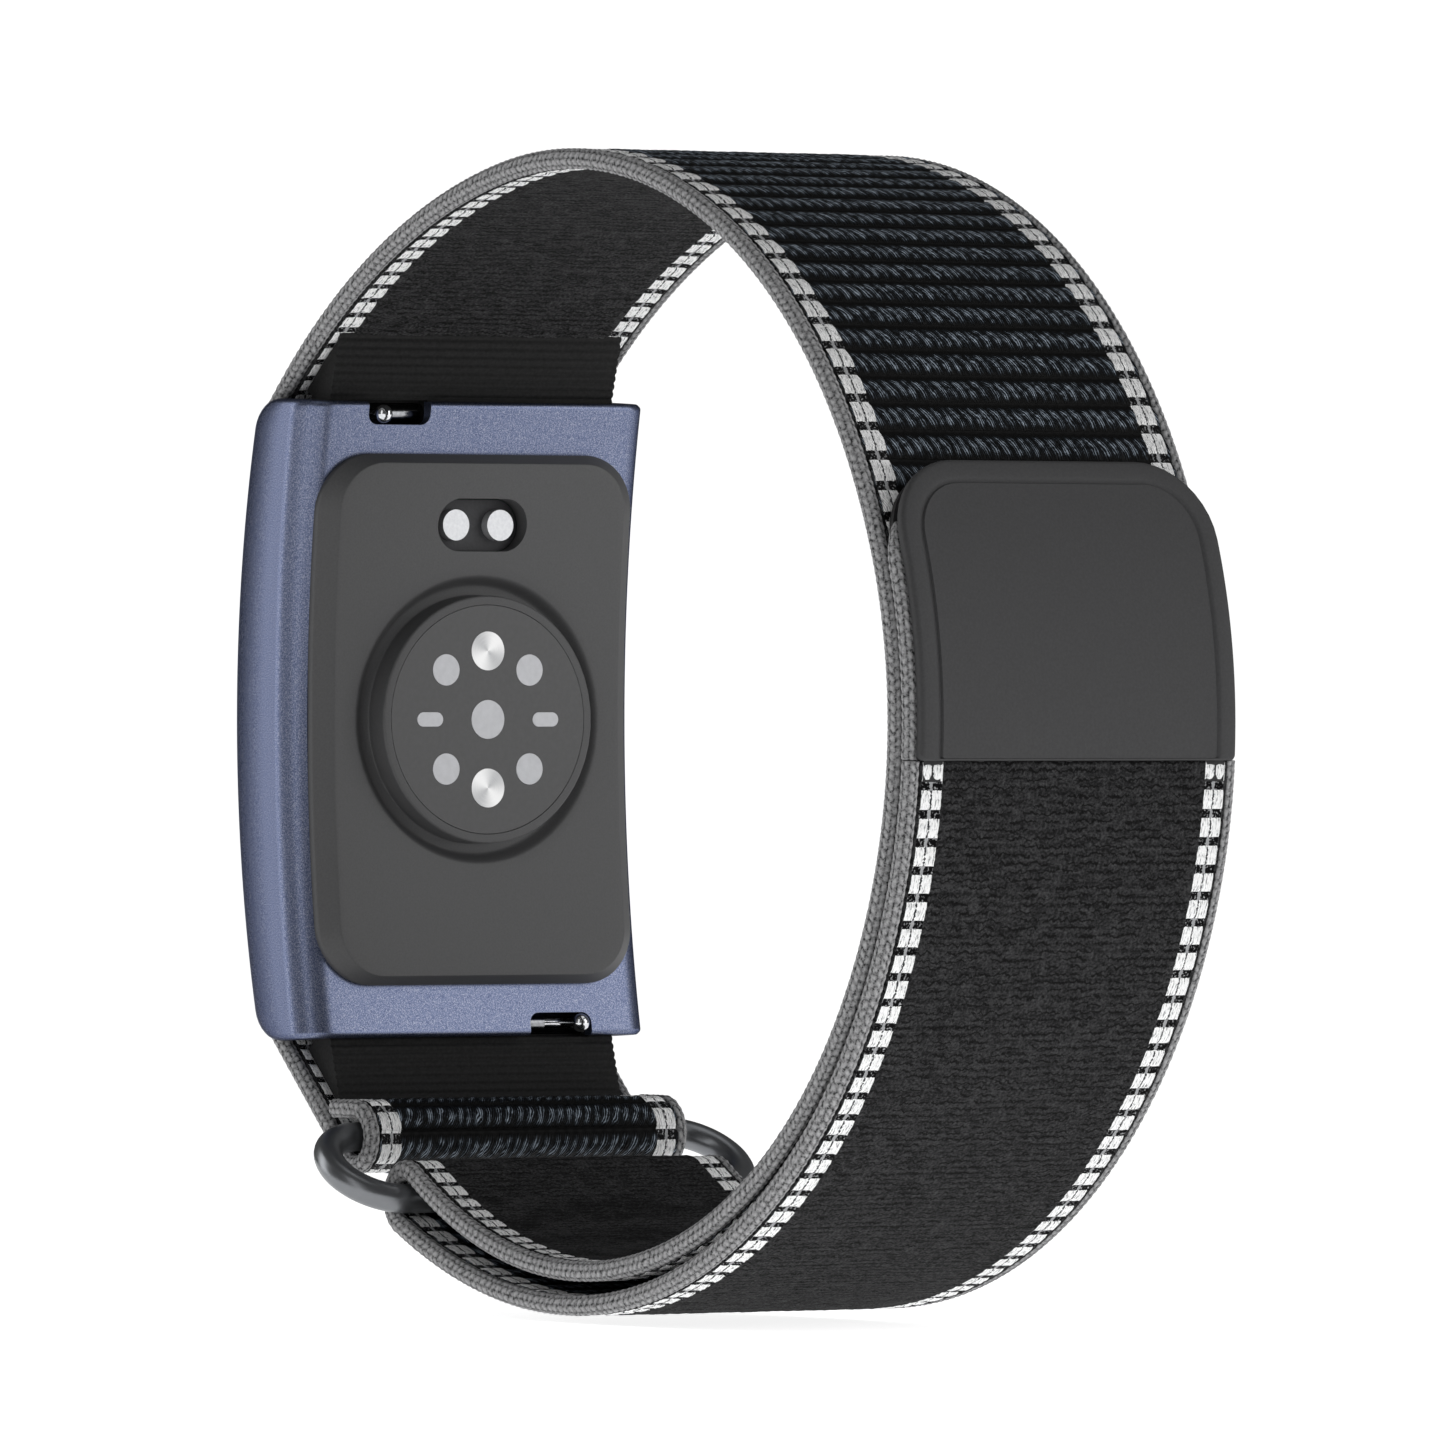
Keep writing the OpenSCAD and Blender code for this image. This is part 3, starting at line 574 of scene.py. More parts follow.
def make_tab(look):
    """The pull tab: a thin moulded cover over the strap's end, its edging and its hook patch."""
    low = LAY_PITCH - BAND_T / 2 + HOOK_T
    high = LAY_PITCH + BAND_T / 2 + TAB_SKIN
    ledge = high - TAB_LEDGE
    half, top, bottom = TAB_HALF, TAB_S0, TAB_S1 - TAB_GAP
    levels = [(inset, min(inset, 3), low) for inset in (11.6, 9, 6, 3, 1.3)]
    levels += [(0.75, 0.6, low + 0.03), (0.75, 0.6, ledge), (0.15, 0.1, ledge), (0, 0, ledge + 0.08)]
    for inward, down in round_off(1, (0, 22, 45, 67, 90)):
        levels.append((TAB_EDGE * inward, TAB_EDGE * inward * 0.4, high - 0.3 * down))
    profile = [(-2.2, 0), (-1, -0.04), (-0.35, -0.14), (0.35, -0.14), (1, 0.01), (2.2, 0)]
    levels += [(TAB_LINE_AT + TAB_LINE_W * k, 0.14 + 0.005 * k, high + rise) for k, rise in profile]
    levels += [(inset, 0.2 + 0.55 * (inset - 2.6), high) for inset in np.linspace(2.6, half - 0.4, 12)]
    vertices, faces = tab_stack(half, top, bottom, TAB_ROUND, levels)
    tab = build("end_tab_cover", vertices, faces, sharp=50)
    finish_piece(tab, [look["tab"]], ["end_tab"], "tab")

    under = (low + ledge - HOOK_T) / 2
    line = band_line(bottom, top + 3.6, STITCH_PITCH / 5)
    line = Line(line.points + under * line.normals, -line.normals, along_run(line.along))
    piping(look, "end_tab_edging", line, ledge - low + HOOK_T - 0.02, body="tab", taper=3.0)

    base = low - HOOK_T
    levels = [(inset, min(inset, 3), base) for inset in (10.4, 7.4, 5, 3, 1.4)]
    levels += [(0.1, 0.1, base + 0.02), (0, 0, base + 0.1), (0, 0, low - 0.02)]
    levels += [(inset, min(inset, 3), low - 0.02) for inset in (1.5, 4, 7.4, 10.4)]
    vertices, faces = tab_stack(TAB_HALF - 0.15, top + 0.15, bottom - 0.6, TAB_ROUND - 0.15, levels)
    hook = build("hook_patch", vertices, faces, sharp=50)
    finish_piece(hook, [look["hook"]], ["hook_pad"], "tab")


# ---- sleeves and ring

def sleeve_outline(upper):
    """Side outline of a sleeve in X-Z, ribbed on the face towards the wrist."""
    turn = np.radians(np.linspace(0, -180, 19))
    seat = np.column_stack([BAR_X + SEAT_R * np.cos(turn), BAR_Z + SEAT_R * np.sin(turn)])
    if upper:
        line = band_line(0.35, 7.6, 0.4)
        outer = line.points - (BAND_T / 2 + SLEEVE_GAP) * line.normals
        tip = np.array(SLEEVE_TIP_UPPER)
    else:
        length = stations(0.35, 7.3, 0.4)[:, None]
        outer = KEEPER_START + length * KEEPER_WAY
        outer = (outer + (KEEPER_T / 2 + SLEEVE_GAP) * left_of(KEEPER_HEADING)) * [1, -1]
        tip = np.array(SLEEVE_TIP_LOWER)
    outer = outer[outer[:, 0] < tip[0] - 0.45]
    foot = np.array([BAR_X + SEAT_R, BAR_Z + 0.8])
    share = np.linspace(0, 1, 91)[:, None]
    face = tip + (foot - tip) * share
    way = (foot - tip) / np.linalg.norm(foot - tip)
    out = np.array([-way[1], way[0]])
    travelled = share[:, 0] * np.linalg.norm(foot - tip)
    groove = SLEEVE_GROOVE * (0.5 - 0.5 * np.cos(2 * pi * travelled / SLEEVE_RIB)) ** 1.6
    face = face - groove[:, None] * out * np.sign(out[0])
    nose = np.array([[tip[0] - 0.22, tip[1] + 0.02]])
    outline = np.concatenate([seat, [[BAR_X - SEAT_R, BAR_Z + SEAT_R]], outer, nose, face])
    return outline if upper else outline * [1, -1]


def make_sleeve(look, upper):
    """A sleeve extruded along Y with softened ends, bored for its bar and cut out for the knob."""
    outline = sleeve_outline(upper)
    middle = outline.mean(axis=0)
    ends = [(-SLEEVE_HALF, 0.96), (-SLEEVE_HALF + 0.06, 0.985), (-SLEEVE_HALF + 0.2, 1.0)]
    ends += [(-y, k) for y, k in reversed(ends)]
    loops = [np.insert(middle + (outline - middle) * k, 1, y, axis=1) for y, k in ends]
    place = "upper" if upper else "lower"
    obj = build(place + "_sleeve_ribbed", *stacked(loops))
    up, side = (1, -1) if upper else (-1, 1)
    a = np.radians(np.arange(0, 360, 10))
    bore = np.column_stack([BAR_X + BORE_R * np.cos(a), up * BAR_Z + BORE_R * np.sin(a)])
    slot_y = sorted((side * (NOTCH_Y[0] - KNOB_PLAY), side * (NOTCH_Y[1] + KNOB_PLAY)))
    slot_z = sorted((up * (BAR_Z - 2), up * (BAR_Z + 0.95)))
    cutters = [prism("bore", bore, -SLEEVE_HALF - 1, SLEEVE_HALF + 1, 1),
               box("slot", (BAR_X + 0.2, CUT_BACK_X), slot_y, slot_z)]
    cut(obj, cutters, 40)
    body = "band" if upper else "keeper"
    finish_piece(obj, [look["sleeve"]], [place + "_sleeve"], body)


def make_ring(look):
    """The oval slide ring, swept round a stadium in the plane of its two bars."""
    r = RING_PITCH / 2
    turn = np.radians(np.linspace(0, 180, 41))
    end = np.column_stack([r * np.cos(turn), RING_HALF + r * np.sin(turn)])
    bar = np.linspace((-r, RING_HALF), (-r, -RING_HALF), 22)[1:-1]
    path = np.concatenate([end, bar, -end, -bar])
    way = np.roll(path, -1, axis=0) - np.roll(path, 1, axis=0)
    way /= np.linalg.norm(way, axis=1)[:, None]
    out = np.column_stack([way[:, 1], -way[:, 0]])
    a = np.linspace(0, 2 * pi, 28, endpoint=False)[None, :, None]
    flat = path[:, None, :] + RING_BAR_R * np.cos(a) * out[:, None, :]
    lift = RING_BAR_R * np.sin(a[..., 0]) * np.ones((len(path), 1))
    middle = (LOWER_BAR + UPPER_BAR) / 2
    x = middle[0] + flat[..., 0] * cos(TILT) - lift * sin(TILT)
    z = middle[1] + flat[..., 0] * sin(TILT) + lift * cos(TILT)
    vertices = np.stack([x, flat[..., 1], z], axis=-1)
    obj = build("slide_ring_bar", vertices, loop_faces(len(path), 28, ring=True))
    finish_piece(obj, [look["ring"]], ["slide_ring"], "ring")


# ---- tracker

def eased(lift, rise, reach):
    """How far an elliptical edge has drawn in, at a height lift below the end."""
    below = min(max(1 - lift / rise, 0.0), 1.0)
    return reach * (1 - sqrt(1 - below * below))


def case_loop(z):
    """The case's outline at a height, drawn in near the end: gently in front, tightly elsewhere."""
    lift = CASE_HALF - z
    inset = eased(lift, END_ROUND, END_ROUND)
    x0 = front_bow(z) + max(eased(lift, FRONT_END_RISE, FRONT_END_REACH), inset)
    x1 = back_bow(z) - inset
    depth = x1 - x0
    loop = rounded_loop(CASE_W / 2 - inset, x0, x1, SIDE_ROUND_FRONT, min(SIDE_ROUND_BACK, depth * 0.35),
                        12, 14, reach=min(SIDE_REACH_FRONT, depth * 0.6))
    x, y = loop[:, 1], loop[:, 0]
    shorter = END_TAPER * (x - FRONT_X) / CASE_T
    return np.column_stack([x, y, z * (1 - shorter / CASE_HALF)])


def make_case(look):
    """The case shell, cut for the straps, knobs, inner parts, cover and glass."""
    a = np.radians(np.linspace(0, 90, 9))
    lifts = np.concatenate([END_ROUND * (1 - np.cos(a)), FRONT_END_RISE * (1 - np.cos(a[3:]))])
    lifts = np.unique(np.round(lifts, 3))
    upper = [case_loop(CASE_HALF - lift) for lift in lifts]
    half = CASE_HALF - FRONT_END_RISE
    middle = [case_loop(abs(z)) * [1, 1, copysign(1, z)] for z in np.linspace(half, -half, 57)[1:-1]]
    lower = [loop * [1, 1, -1] for loop in reversed(upper)]
    loops = upper + middle + lower
    obj = build("case_shell", *stacked(loops))
    cutters = []
    for up in (1, -1):
        z = sorted((up * POCKET_Z, up * CUT_END_Z))
        cutters.append(box("pocket", POCKET_X, (-POCKET_HALF_W, POCKET_HALF_W), z))
        z = sorted((up * RECESS_FLOOR, up * CUT_END_Z))
        cutters.append(box("strap_recess", STRAP_RECESS_X, (-STRAP_RECESS_HALF_W, STRAP_RECESS_HALF_W), z))
        side = -up
        low, high = sorted((side * NOTCH_Y[0], side * NOTCH_Y[1]))
        middle_y, notch_half = (low + high) / 2, (high - low) / 2
        loop = rounded_loop(notch_half, NOTCH_Z, CUT_END_Z, NOTCH_ROUND, 0.1, 8, 1)
        outline = np.column_stack([middle_y + loop[:, 0], up * loop[:, 1]])
        cutters.append(prism("notch", outline, POCKET_X[1] - CUT_LAP, CUT_BACK_X, 0))
    cutters.append(box("cavity", *CAVITY))
    tall = COVER_H / 2 - COVER_SEAT_INSET
    seat = rounded_loop(COVER_W / 2 - COVER_SEAT_INSET, -tall, tall, COVER_SEAT_ROUND, COVER_SEAT_ROUND)
    cutters.append(prism("cover_seat", seat, CUT_FOOT_X, CUT_BACK_X, 0))
    floor, mouth = GLASS_SEAT
    levels = [(inset, floor) for inset in (8, 4, 0)] + [(inset, mouth) for inset in (0, 4, 8)]
    cutters.append(build("glass_seat", *plate_loops(levels, grow=GLASS_PLAY)))
    cut(obj, cutters, 35)
    finish_piece(obj, [look["paint"]], ["case_frame"], "tracker")


def plate_loops(levels, grow=0.0):
    """A rounded plate that follows the front bow; levels are (inset, depth) pairs."""
    half, tall = GLASS_W / 2 + grow, GLASS_HALF + grow
    loops = []
    for inset, depth in levels:
        r = max(GLASS_ROUND - inset, 0.3)
        loop = rounded_loop(half - inset, inset - tall, tall - inset, r, r, *GLASS_STEPS)
        loops.append(np.column_stack([front_bow(loop[:, 1], depth), loop]))
    return stacked(loops, strip_cap(*GLASS_STEPS))


def make_glass(look):
    """The front glass, with a polished rounded edge."""
    levels = [(8, 1.0), (4, 1.0), (0, 1.0), (0, GLASS_EDGE)]
    levels += round_off(GLASS_EDGE, (22, 45, 67, 90))
    levels += [(inset, 0.0) for inset in (1.5, 3.5, 6, 8.5, 10.4)]
    obj = build("front_glass", *plate_loops(levels), sharp=45)
    finish_piece(obj, [look["glass"]], ["cover_glass"], "tracker")


def make_cover(look):
    """The back cover: a bevelled plateau on the bow, with a moat and a round sensor bump."""
    loops = []

    def outline(share):
        """The cover's outline at a share of the way up its bevel."""
        across, along, r = BEVEL_SIDE * share, BEVEL_END * share, COVER_ROUND - BEVEL_ROUND * share
        return rounded_loop(COVER_W / 2 - across, along - COVER_H / 2, COVER_H / 2 - along, r, r, 10, 16)

    for share, rise in ((0, -SKIRT), (0, 0.32), (0.03, 0.42), (0.1, 0.5), (0.93, 1.28),
                        (0.98, 1.325), (1.02, 1.35), (PLATEAU_SHARE, PLATEAU_RISE)):
        loop = outline(share)
        loops.append(np.column_stack([back_bow(loop[:, 1], rise), loop]))
    rim = outline(PLATEAU_SHARE)
    angle = np.arctan2(rim[:, 1], rim[:, 0])
    circle = np.column_stack([np.cos(angle), np.sin(angle)])

    def on_circle(r, share, x):
        """A circle of points that blends from the plateau's surface to a flat one."""
        flat = r * circle
        level = back_bow(flat[:, 1], PLATEAU_RISE) * (1 - share) + x * share
        return np.column_stack([level, flat])

    lip_r = MOAT_R + MOAT_LIP
    for share in np.linspace(0, 1, 13)[1:]:
        flat = rim * (1 - share) + lip_r * circle * share
        loops.append(np.column_stack([back_bow(flat[:, 1], PLATEAU_RISE), flat]))
    for k in np.linspace(0, 1, 9)[1:]:
        loops.append(on_circle(lip_r - MOAT_SLOPE * k, 0.5 - 0.5 * cos(pi * k), MOAT_X))
    for rise, outward in round_off(BUMP_FOOT_ROUND, (20, 45, 70, 90)):
        loops.append(on_circle(BUMP_R + outward, 1, MOAT_X + rise))
    for inward, down in round_off(BUMP_TOP_ROUND, (0, 18, 36, 54, 72, 90)):
        loops.append(on_circle(BUMP_R - inward, 1, BUMP_X - down))
    for r, x in ((LENS_R + 0.06, BUMP_X), (LENS_R + 0.03, BUMP_X - 0.03), (LENS_R + 0.03, BUMP_X - 0.9)):
        loops.append(on_circle(r, 1, x))
    obj = build("cover_shell", *stacked(loops))
    half, r = RECESS_H / 2, RECESS_H / 2 - 0.01
    recess = rounded_loop(RECESS_W / 2, RECESS_Z - half, RECESS_Z + half, r, r, 12, 2)
    cut(obj, [prism("recess", recess, CUT_FOOT_X, CUT_BACK_X, 0)], 35)
    finish_piece(obj, [look["cover"]], ["back_cover"], "tracker")


# ---- materials

def colour(code):
    """A linear colour from an sRGB hex code."""
    parts = [int(code[i:i + 2], 16) / 255 for i in (1, 3, 5)]
    return [*(c / 12.92 if c <= 0.04045 else ((c + 0.055) / 1.055) ** 2.4 for c in parts), 1.0]


class Finish:
    """A node material, with short calls for the nodes that it is made of."""

    def __init__(self, name, **sockets):
        self.material = bpy.data.materials.new(name)
        self.material.use_nodes = True
        self.tree = self.material.node_tree
        self.shader = self.tree.nodes["Principled BSDF"]
        for socket, value in sockets.items():
            title = socket.replace("_", " ").title().replace("Ior", "IOR")
            self.shader.inputs[title].default_value = value

    def node(self, kind, *links, **settings):
        node = self.tree.nodes.new("ShaderNode" + kind)
        for key, value in settings.items():
            setattr(node, key, value)
        for socket, value in zip(node.inputs, links):
            self.feed(socket, value)
        return node

    def feed(self, socket, value):
        if isinstance(value, bpy.types.NodeSocket):
            self.tree.links.new(value, socket)
        else:
            socket.default_value = value

    def math(self, operation, *values):
        return self.node("Math", *values, operation=operation).outputs[0]

    def times(self, a, b):
        return self.math("MULTIPLY", a, b)

    def plus(self, a, b):
        return self.math("ADD", a, b)

    def attribute(self, name):
        return self.node("Attribute", attribute_name=name).outputs["Fac"]

    def place(self):
        return self.node("TexCoord").outputs["Object"]

    def vector(self, x, y):
        return self.node("CombineXYZ", x, y).outputs[0]

    def cloth_noise(self, lengthwise, crosswise, scale, detail=2.0, rough=0.5):
        """Noise over a fabric's own length and width, each stretched by a factor."""
        along = self.times(self.attribute("along"), lengthwise)
        across = self.times(self.attribute("across"), crosswise)
        return self.noise(self.vector(along, across), scale, detail, rough)

    def noise(self, vector, scale, detail=2.0, rough=0.5):
        node = self.node("TexNoise")
        values = {"Vector": vector, "Scale": scale, "Detail": detail, "Roughness": rough}
        for socket, value in values.items():
            self.feed(node.inputs[socket], value)
        return node.outputs["Fac"]

    def ramp(self, value, *stops):
        node = self.node("ValToRGB", value)
        elements = node.color_ramp.elements
        while len(elements) < len(stops):
            elements.new(0.5)
        for element, (place, code) in zip(elements, stops):
            element.position = place
            element.color = colour(code)
        return node.outputs["Color"]

    def mix(self, share, a, b):
        node = self.node("Mix", data_type="RGBA")
        for place, value in ((0, share), (6, a), (7, b)):
            self.feed(node.inputs[place], value)
        return node.outputs[2]

    def remap(self, value, low, high):
        node = self.node("MapRange", value)
        node.inputs["To Min"].default_value = low
        node.inputs["To Max"].default_value = high
        return node.outputs["Result"]

    def bump(self, height, depth):
        node = self.node("Bump")
        node.inputs["Distance"].default_value = depth * MM
        self.feed(node.inputs["Height"], height)
        self.feed(self.shader.inputs["Normal"], node.outputs["Normal"])

    def set(self, socket, value):
        self.feed(self.shader.inputs[socket], value)


def grained(name, dark, light, grain, rough, bump, **sockets):
    """A plain surface with a fine grain: two close tones, uneven gloss and a slight bump."""
    coat = Finish(name, **sockets)
    noise = coat.noise(coat.place(), 1 / (grain * MM), 3)
    coat.set("Base Color", coat.ramp(noise, (0.3, dark), (0.7, light)))
    coat.set("Roughness", coat.remap(noise, *rough))
    coat.bump(noise, bump)
    return coat.material


def dashes(coat, under):
    """Lays the two columns of silver edge stitches over a fabric's colour."""
    place = coat.math("ABSOLUTE", coat.attribute("across"))
    inside = coat.times(coat.math("GREATER_THAN", place, DASH_IN), coat.math("LESS_THAN", place, DASH_OUT))
    middle = coat.math("ABSOLUTE", coat.math("SUBTRACT", place, (DASH_IN + DASH_OUT) / 2))
    flecks = coat.cloth_noise(1, 1, 6.0)
    phase = coat.math("FRACT", coat.plus(coat.attribute("ribs"), 0.005))
    frayed = coat.plus(phase, coat.times(flecks, 0.1))
    lit = coat.math("LESS_THAN", frayed, DASH_SHARE + 0.05)
    ragged = coat.math("SUBTRACT", coat.times(flecks, 0.3), middle)
    streaks = coat.cloth_noise(1.1, 5, 1.9, 4, 0.7)
    silver = coat.ramp(streaks, (0.36, "#505155"), (0.44, "#e2e3e3"), (0.52, "#ffffff"))
    silver = coat.mix(coat.math("GREATER_THAN", ragged, 0.1), silver, colour("#303134"))
    gap = coat.ramp(flecks, (0.56, "#020203"), (0.7, "#b4b5b7"))
    gap = coat.mix(coat.math("GREATER_THAN", ragged, 0.03), gap, colour("#a2a3a5"))
    return coat.mix(inside, under, coat.mix(lit, gap, silver))


def weave_look():
    """Glossy dark yarns lying side by side across each rib, every yarn split into fine fibres, with painted
    highlights along the yarn crests and painted shade in the valleys between ribs.
    """
    coat = Finish("ribbed_weave", specular_ior_level=0.12)
    wobble = coat.cloth_noise(0.3, 1, 1.7)
    yarns = coat.plus(coat.attribute("yarns"), coat.times(wobble, 0.6))
    turn = coat.math("COSINE", coat.times(yarns, 2 * pi))
    fibres = coat.math("COSINE", coat.times(yarns, 10 * pi))
    # rib falls from 1 on a rib's crest to 0 at its edges, so the base colour below darkens in the valleys
    # between ribs as painted shade
    place = coat.math("SUBTRACT", coat.math("FRACT", coat.attribute("ribs")), 0.5)
    fall = coat.math("POWER", coat.math("ABSOLUTE", coat.times(place, 2.1)), 3.6)
    rib = coat.math("SUBTRACT", 1.0, fall)
    patches = coat.cloth_noise(1.3, 1, 1.3, 3, 0.7)
    # Yarn stripes, fibres and random patches lighten the base colour along the yarn crests as painted
    # highlights; the same field also sets roughness and bump
    gloss_and_painted_light = coat.plus(coat.times(turn, 0.17), coat.times(fibres, 0.2))
    gloss_and_painted_light = coat.plus(gloss_and_painted_light, coat.times(patches, 1.15))
    gloss_and_painted_light = coat.times(gloss_and_painted_light, coat.math("MAXIMUM", rib, 0.0))
    # Base colour from near black in the rib valleys (painted shade) to pale blue-grey on the yarn crests
    # (painted highlight)
    yarn = coat.ramp(gloss_and_painted_light, (0.3, "#010101"), (0.5, "#06080a"), (0.7, "#272d34"), (0.95, "#9aa5b1"))
    coat.set("Base Color", dashes(coat, yarn))
    coat.set("Roughness", coat.remap(gloss_and_painted_light, 0.6, 0.35))
    coat.bump(gloss_and_painted_light, 0.12)
    return coat.material


def pile_look():
    """Matt loops in short rows, with painted shade in the hollows between the loops and in cracks that come
    and go between the rows.
    """
    coat = Finish("looped_pile", roughness=0.95, specular_ior_level=0.15)
    loops = coat.cloth_noise(1.4, 1, 4.6, 3, 0.65)
    wander = coat.cloth_noise(0.5, 1, 1.5, 3, 0.65)
    rows = coat.plus(coat.math("DIVIDE", coat.attribute("along"), 0.5), coat.times(wander, 2.2))
    depth = coat.math("PINGPONG", rows, 0.5)
    patches = coat.cloth_noise(1, 0.6, 1.1)
    open_rows = coat.times(coat.math("LESS_THAN", depth, 0.13), coat.math("GREATER_THAN", patches, 0.46))
    crest = coat.times(coat.attribute("crest"), 0.5)
    crest = coat.plus(crest, coat.math("SUBTRACT", coat.times(loops, 1.5), 0.45))
    # Base colour darker where the pile sinks below its crest: painted shade in the hollows between loops
    tone = coat.ramp(crest, (0.15, "#050505"), (0.5, "#1d1d1e"), (0.95, "#454546"))
    # Painted shade in the cracks between rows: open_rows turns the colour near black there
    tone = coat.mix(coat.times(open_rows, 0.85), tone, colour("#040404"))
    coat.set("Base Color", dashes(coat, tone))
    coat.bump(loops, 0.12)
    return coat.material


def piping_look():
    """Pale grey knitted cord, with painted shade between its stitches."""
    coat = Finish("knitted_edging", roughness=0.9, specular_ior_level=0.2)
    speck = coat.noise(coat.place(), 1 / (0.16 * MM), 3, 0.6)
    crest = coat.plus(coat.attribute("crest"), coat.times(coat.math("SUBTRACT", speck, 0.5), 1.6))
    # Base colour dark where the cord sinks between stitches: painted shade in the grooves
    coat.set("Base Color", coat.ramp(crest, (0.05, "#2f2f30"), (0.4, "#868687"), (1.0, "#afafb0")))
    coat.bump(speck, 0.05)
    return coat.material


def paint_look():
    """Blue pearl paint: a navy base with fine metallic flakes under a satin coat."""
    coat = Finish("case_paint_blue", metallic=0.95, coat_weight=0.1, coat_roughness=0.35,
                  specular_tint=colour("#080c28"))
    flakes = coat.noise(coat.place(), 1 / (0.075 * MM), 2, 0.6)
    coat.set("Base Color", coat.ramp(flakes, (0.3, "#444d69"), (0.5, "#69728e"), (0.7, "#9da0ae")))
    coat.set("Roughness", coat.remap(flakes, 0.34, 0.42))
    coat.bump(flakes, 0.005)
    return coat.material


def electrode_look():
    """Round-brushed steel discs, above and below the lens centre, with a painted highlight fanning round
    each disc.
    """
    coat = Finish("brushed_electrode", metallic=0.9)
    split = coat.node("SeparateXYZ", coat.place())
    y = split.outputs["Y"]
    z = coat.math("SUBTRACT", coat.math("ABSOLUTE", split.outputs["Z"]), ELECTRODE_Z * MM)
    angle = coat.math("ARCTAN2", y, z)
    radius = coat.math("SQRT", coat.plus(coat.times(y, y), coat.times(z, z)))
    rings = coat.noise(coat.vector(coat.times(radius, 40 / MM), angle), 1.0)
    # Painted highlight: two opposite sectors of each disc lighter and the other two darker, as the brushing
    # would catch the light
    painted_highlight_fan = coat.times(coat.math("SINE", coat.times(angle, 2.0)), 0.3)
    tone = coat.plus(coat.times(rings, 0.4), coat.plus(painted_highlight_fan, 0.4))
    coat.set("Base Color", coat.ramp(tone, (0.1, "#8e8f91"), (0.9, "#d0d0d0")))
    coat.set("Roughness", coat.remap(rings, 0.28, 0.42))
    return coat.material


def make_looks():
    """Every material: the plain ones have two tones, a grain in mm, roughness and a bump in mm."""
    return {
        "weave": weave_look(),
        "pile": pile_look(),
        "piping": piping_look(),
        "paint": paint_look(),
        "electrode": electrode_look(),
        "cover": grained("cover_plastic_grey", "#454546", "#4d4d4e", 0.12, (0.5, 0.62), 0.004),
        "lens": grained("lens_smoked", "#3b3b3c", "#414142", 0.3, (0.32, 0.4), 0.002),
        "window": grained("window_clear", "#bcbdc1", "#c5c6ca", 0.4, (0.2, 0.3), 0.002, coat_weight=0.4),
        "contact": grained("contact_plate", "#c4c5c8", "#d2d3d5", 0.2, (0.3, 0.4), 0.002, metallic=0.6),
        "chrome": grained("bar_chrome_bright", "#c6c8cb", "#e4e5e7", 0.3, (0.1, 0.18), 0.001, metallic=1.0),
        "bar": grained("bar_steel_dark", "#7b7c7f", "#97989b", 0.3, (0.14, 0.2), 0.001, metallic=1.0),
        "ring": grained("ring_gunmetal", "#7d7f82", "#808285", 0.6, (0.3, 0.31), 0.0, metallic=0.9),
        "sleeve": grained("sleeve_cloth", "#1b1b1b", "#292929", 0.22, (0.75, 0.95), 0.02,
                          specular_ior_level=0.2),
        "tab": grained("tab_soft_touch", "#363637", "#3e3e3f", 0.16, (0.62, 0.78), 0.008,
                       specular_ior_level=0.35),
        "hook": grained("hook_nylon", "#0e0e0f", "#2a2a2b", 0.35, (0.6, 0.9), 0.06),
        "glass": grained("glass_black", "#08090b", "#0b0c0f", 2.0, (0.05, 0.08), 0.0005, coat_weight=1.0),
        "display": grained("display_dark", "#0b0d12", "#141821", 0.4, (0.2, 0.3), 0.001),
        "gasket": grained("gasket_rubber", "#101010", "#1a1a1a", 0.2, (0.7, 0.9), 0.005),
        "carrier": grained("carrier_resin", "#303032", "#3c3c3f", 0.25, (0.5, 0.7), 0.006),
        "battery": grained("battery_foil", "#a8abb1", "#c6c9ce", 0.8, (0.25, 0.45), 0.02, metallic=0.8),
        "board": grained("board_mask", "#16492f", "#1f5a3c", 0.5, (0.35, 0.5), 0.004),
        "steel": grained("steel_plain", "#a9abaf", "#c9cbcf", 0.2, (0.25, 0.4), 0.002, metallic=1.0),
        "chip": grained("chip_epoxy", "#121213", "#1d1d1f", 0.1, (0.5, 0.7), 0.002),
        "flex": grained("flex_amber", "#8f5d20", "#b27a33", 0.5, (0.3, 0.45), 0.003),
    }


CARRIED = {
    "display": ["display_panel"],
    "flex": ["display_flex"],
    "carrier": ["inner_carrier", "contact_base"],
    "battery": ["battery"],
    "board": ["main_board", "sensor_board"],
    "chip": ["board_chips"],
    "steel": ["shield_can", "motor_can", "case_screws", "motor_shaft", "eccentric_weight"],
    "gasket": ["cover_gasket"],
    "lens": ["sensor_lens"],
    "electrode": ["sensor_electrodes"],
    "window": ["corner_windows", "middle_window", "side_windows"],
    "contact": ["charge_contacts"],
    "chrome": ["upper_release_pin", "lower_release_pin"],
    "bar": ["upper_bar_tube", "lower_bar_tube"],
}


def dress_cad_nodes(look):
    """Puts a finished material on every CAD node that is shown as it is."""
    for key, names in CARRIED.items():
        for name in names:
            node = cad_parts[name]
            if not node.material_slots:
                node.data.materials.append(look[key])
            for slot in node.material_slots:
                slot.material = look[key]


# ---- studio

FLOOR_HALF, FLOOR_DROP = 600, 0.6


def make_camera():
    """The camera stands level with the object, towards the wrist side and the upper knob's side."""
    camera = bpy.data.cameras.new("camera")
    camera.lens = 403.6
    camera.clip_end = 20.0
    obj = placed("camera", camera)
    obj.location = (0.8611, -0.5773, -0.0002)
    obj.rotation_euler = (radians(90), 0, radians(56.3))
    bpy.context.scene.camera = obj


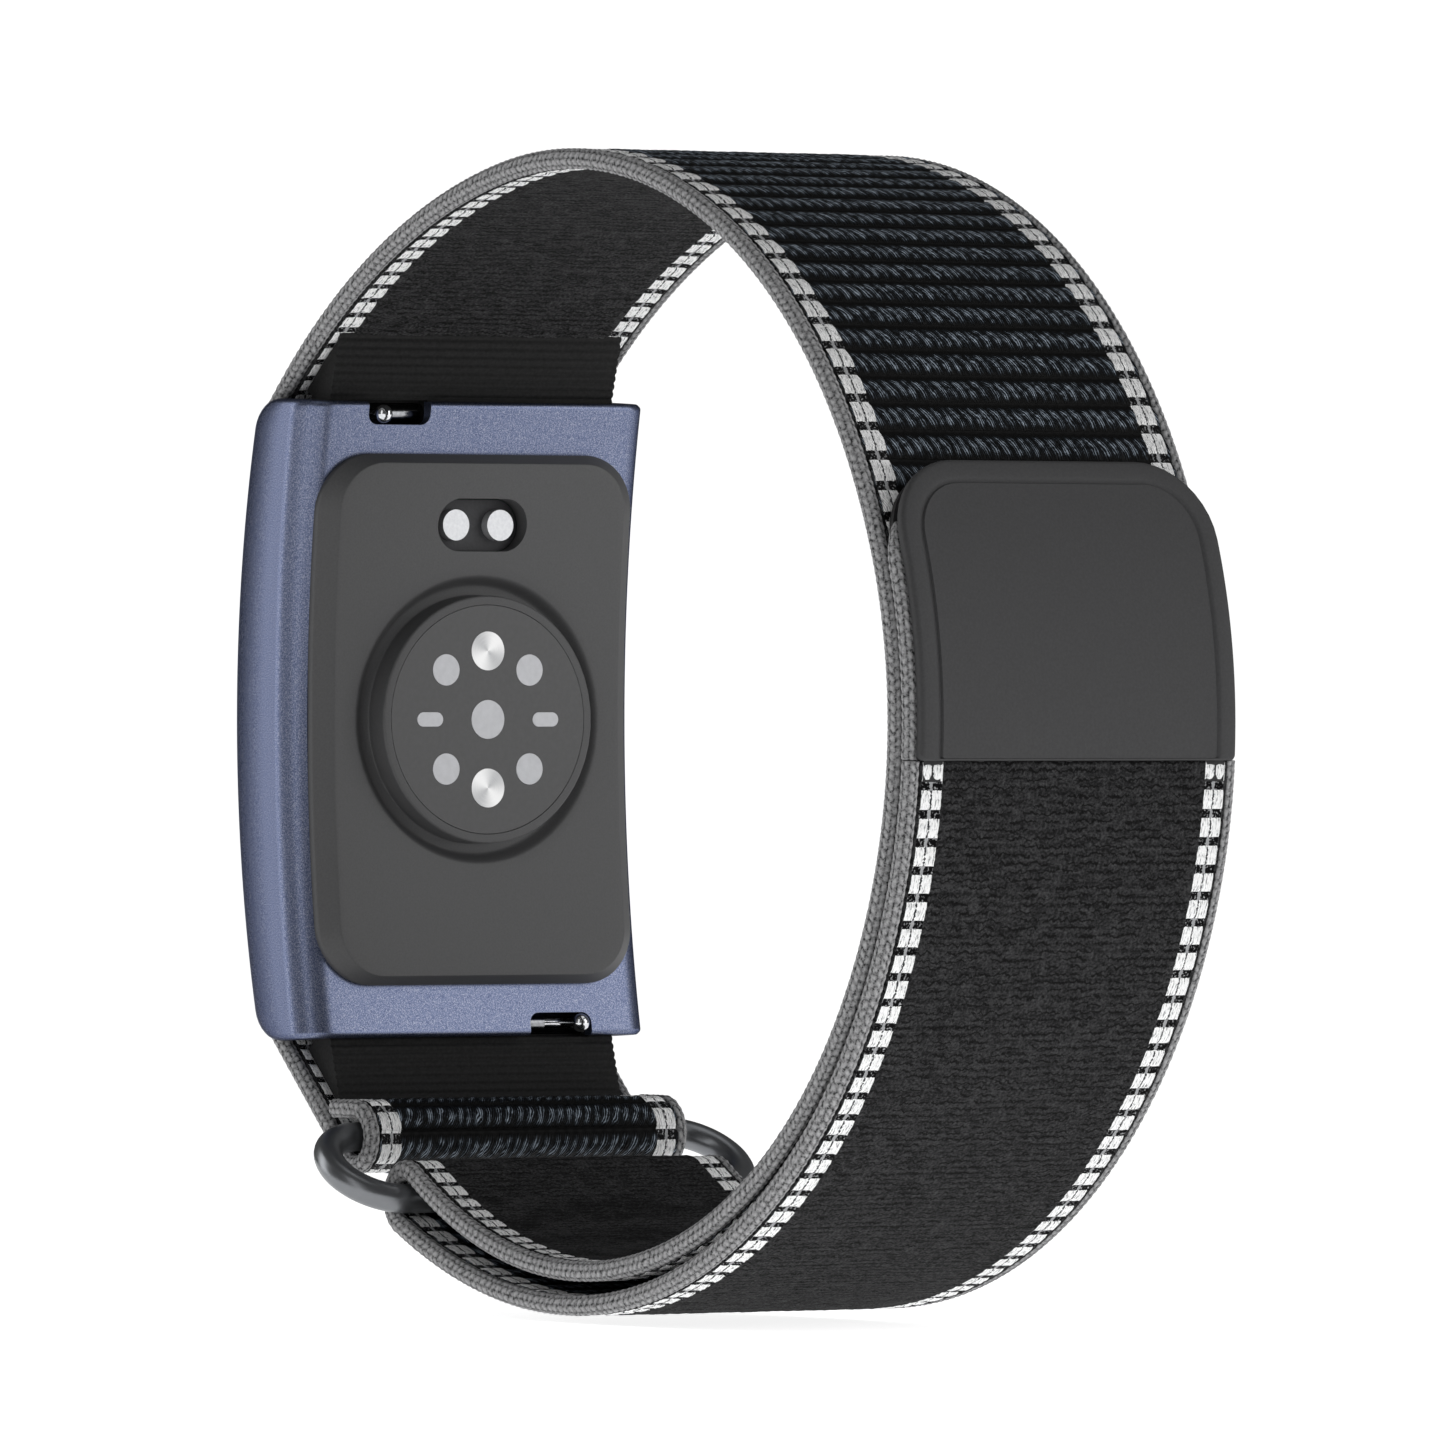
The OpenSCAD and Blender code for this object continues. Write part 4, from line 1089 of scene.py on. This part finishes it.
def softbox(name, bearing, height, size, power):
    """A large soft light facing the object; bearing 0 is on the +X side."""
    lamp = bpy.data.lights.new(name, "AREA")
    lamp.shape = "RECTANGLE"
    lamp.size, lamp.size_y = size
    lamp.energy = power
    a = radians(bearing)
    reach = 1.0 if height < 1 else 0.3
    obj = placed(name, lamp)
    obj.location = (reach * cos(a), reach * sin(a), height)
    obj.rotation_euler = (pi / 2 - atan2(height, reach), 0, a + pi / 2)


def make_studio():
    """A pale floor under the object, a bright backdrop colour and large soft lights."""
    level = cad_box[0][2] / MM - FLOOR_DROP
    corners = [(x * FLOOR_HALF, y * FLOOR_HALF, level) for x, y in ((-1, -1), (1, -1), (1, 1), (-1, 1))]
    floor = build("floor", corners, [[0, 1, 2, 3]])
    pale = Finish("floor_pale", roughness=0.9, emission_color=WHITE, emission_strength=0.85)
    pale.set("Base Color", pale.ramp(pale.noise(pale.place(), 3.0), (0.2, "#f6f6f6"), (0.8, "#fafafa")))
    floor.data.materials.append(pale.material)

    world = bpy.data.worlds.new("studio")
    world.use_nodes = True
    bpy.context.scene.world = world
    tree = world.node_tree
    plain, seen = tree.nodes["Background"], tree.nodes.new("ShaderNodeBackground")
    for background, strength in ((plain, 0.1), (seen, 1.05)):
        background.inputs["Color"].default_value = WHITE
        background.inputs["Strength"].default_value = strength
    path = tree.nodes.new("ShaderNodeLightPath")
    mix = tree.nodes.new("ShaderNodeMixShader")
    for place, socket in enumerate((path.outputs["Is Camera Ray"], plain.outputs[0], seen.outputs[0])):
        tree.links.new(socket, mix.inputs[place])
    tree.links.new(mix.outputs[0], tree.nodes["World Output"].inputs["Surface"])

    softbox("behind_left", -138, 0.15, (0.42, 1.3), 4.5)
    softbox("camera_left", -58, 0.2, (0.34, 1.3), 1.5)
    softbox("camera_right", 40, 0.2, (0.9, 1.3), 6.6)
    softbox("overhead", 38, 1.2, (0.8, 0.8), 1.5)
    bpy.context.scene.view_settings.view_transform = "Standard"


make_camera()
make_studio()
look = make_looks()
dress_cad_nodes(look)
make_case(look)
make_glass(look)
make_cover(look)
make_sleeve(look, upper=True)
make_sleeve(look, upper=False)
make_coil(look, "upper", 1)
make_coil(look, "lower", -1)
make_band(look)
make_tab(look)
make_tab_hinge(look)
make_ring(look)
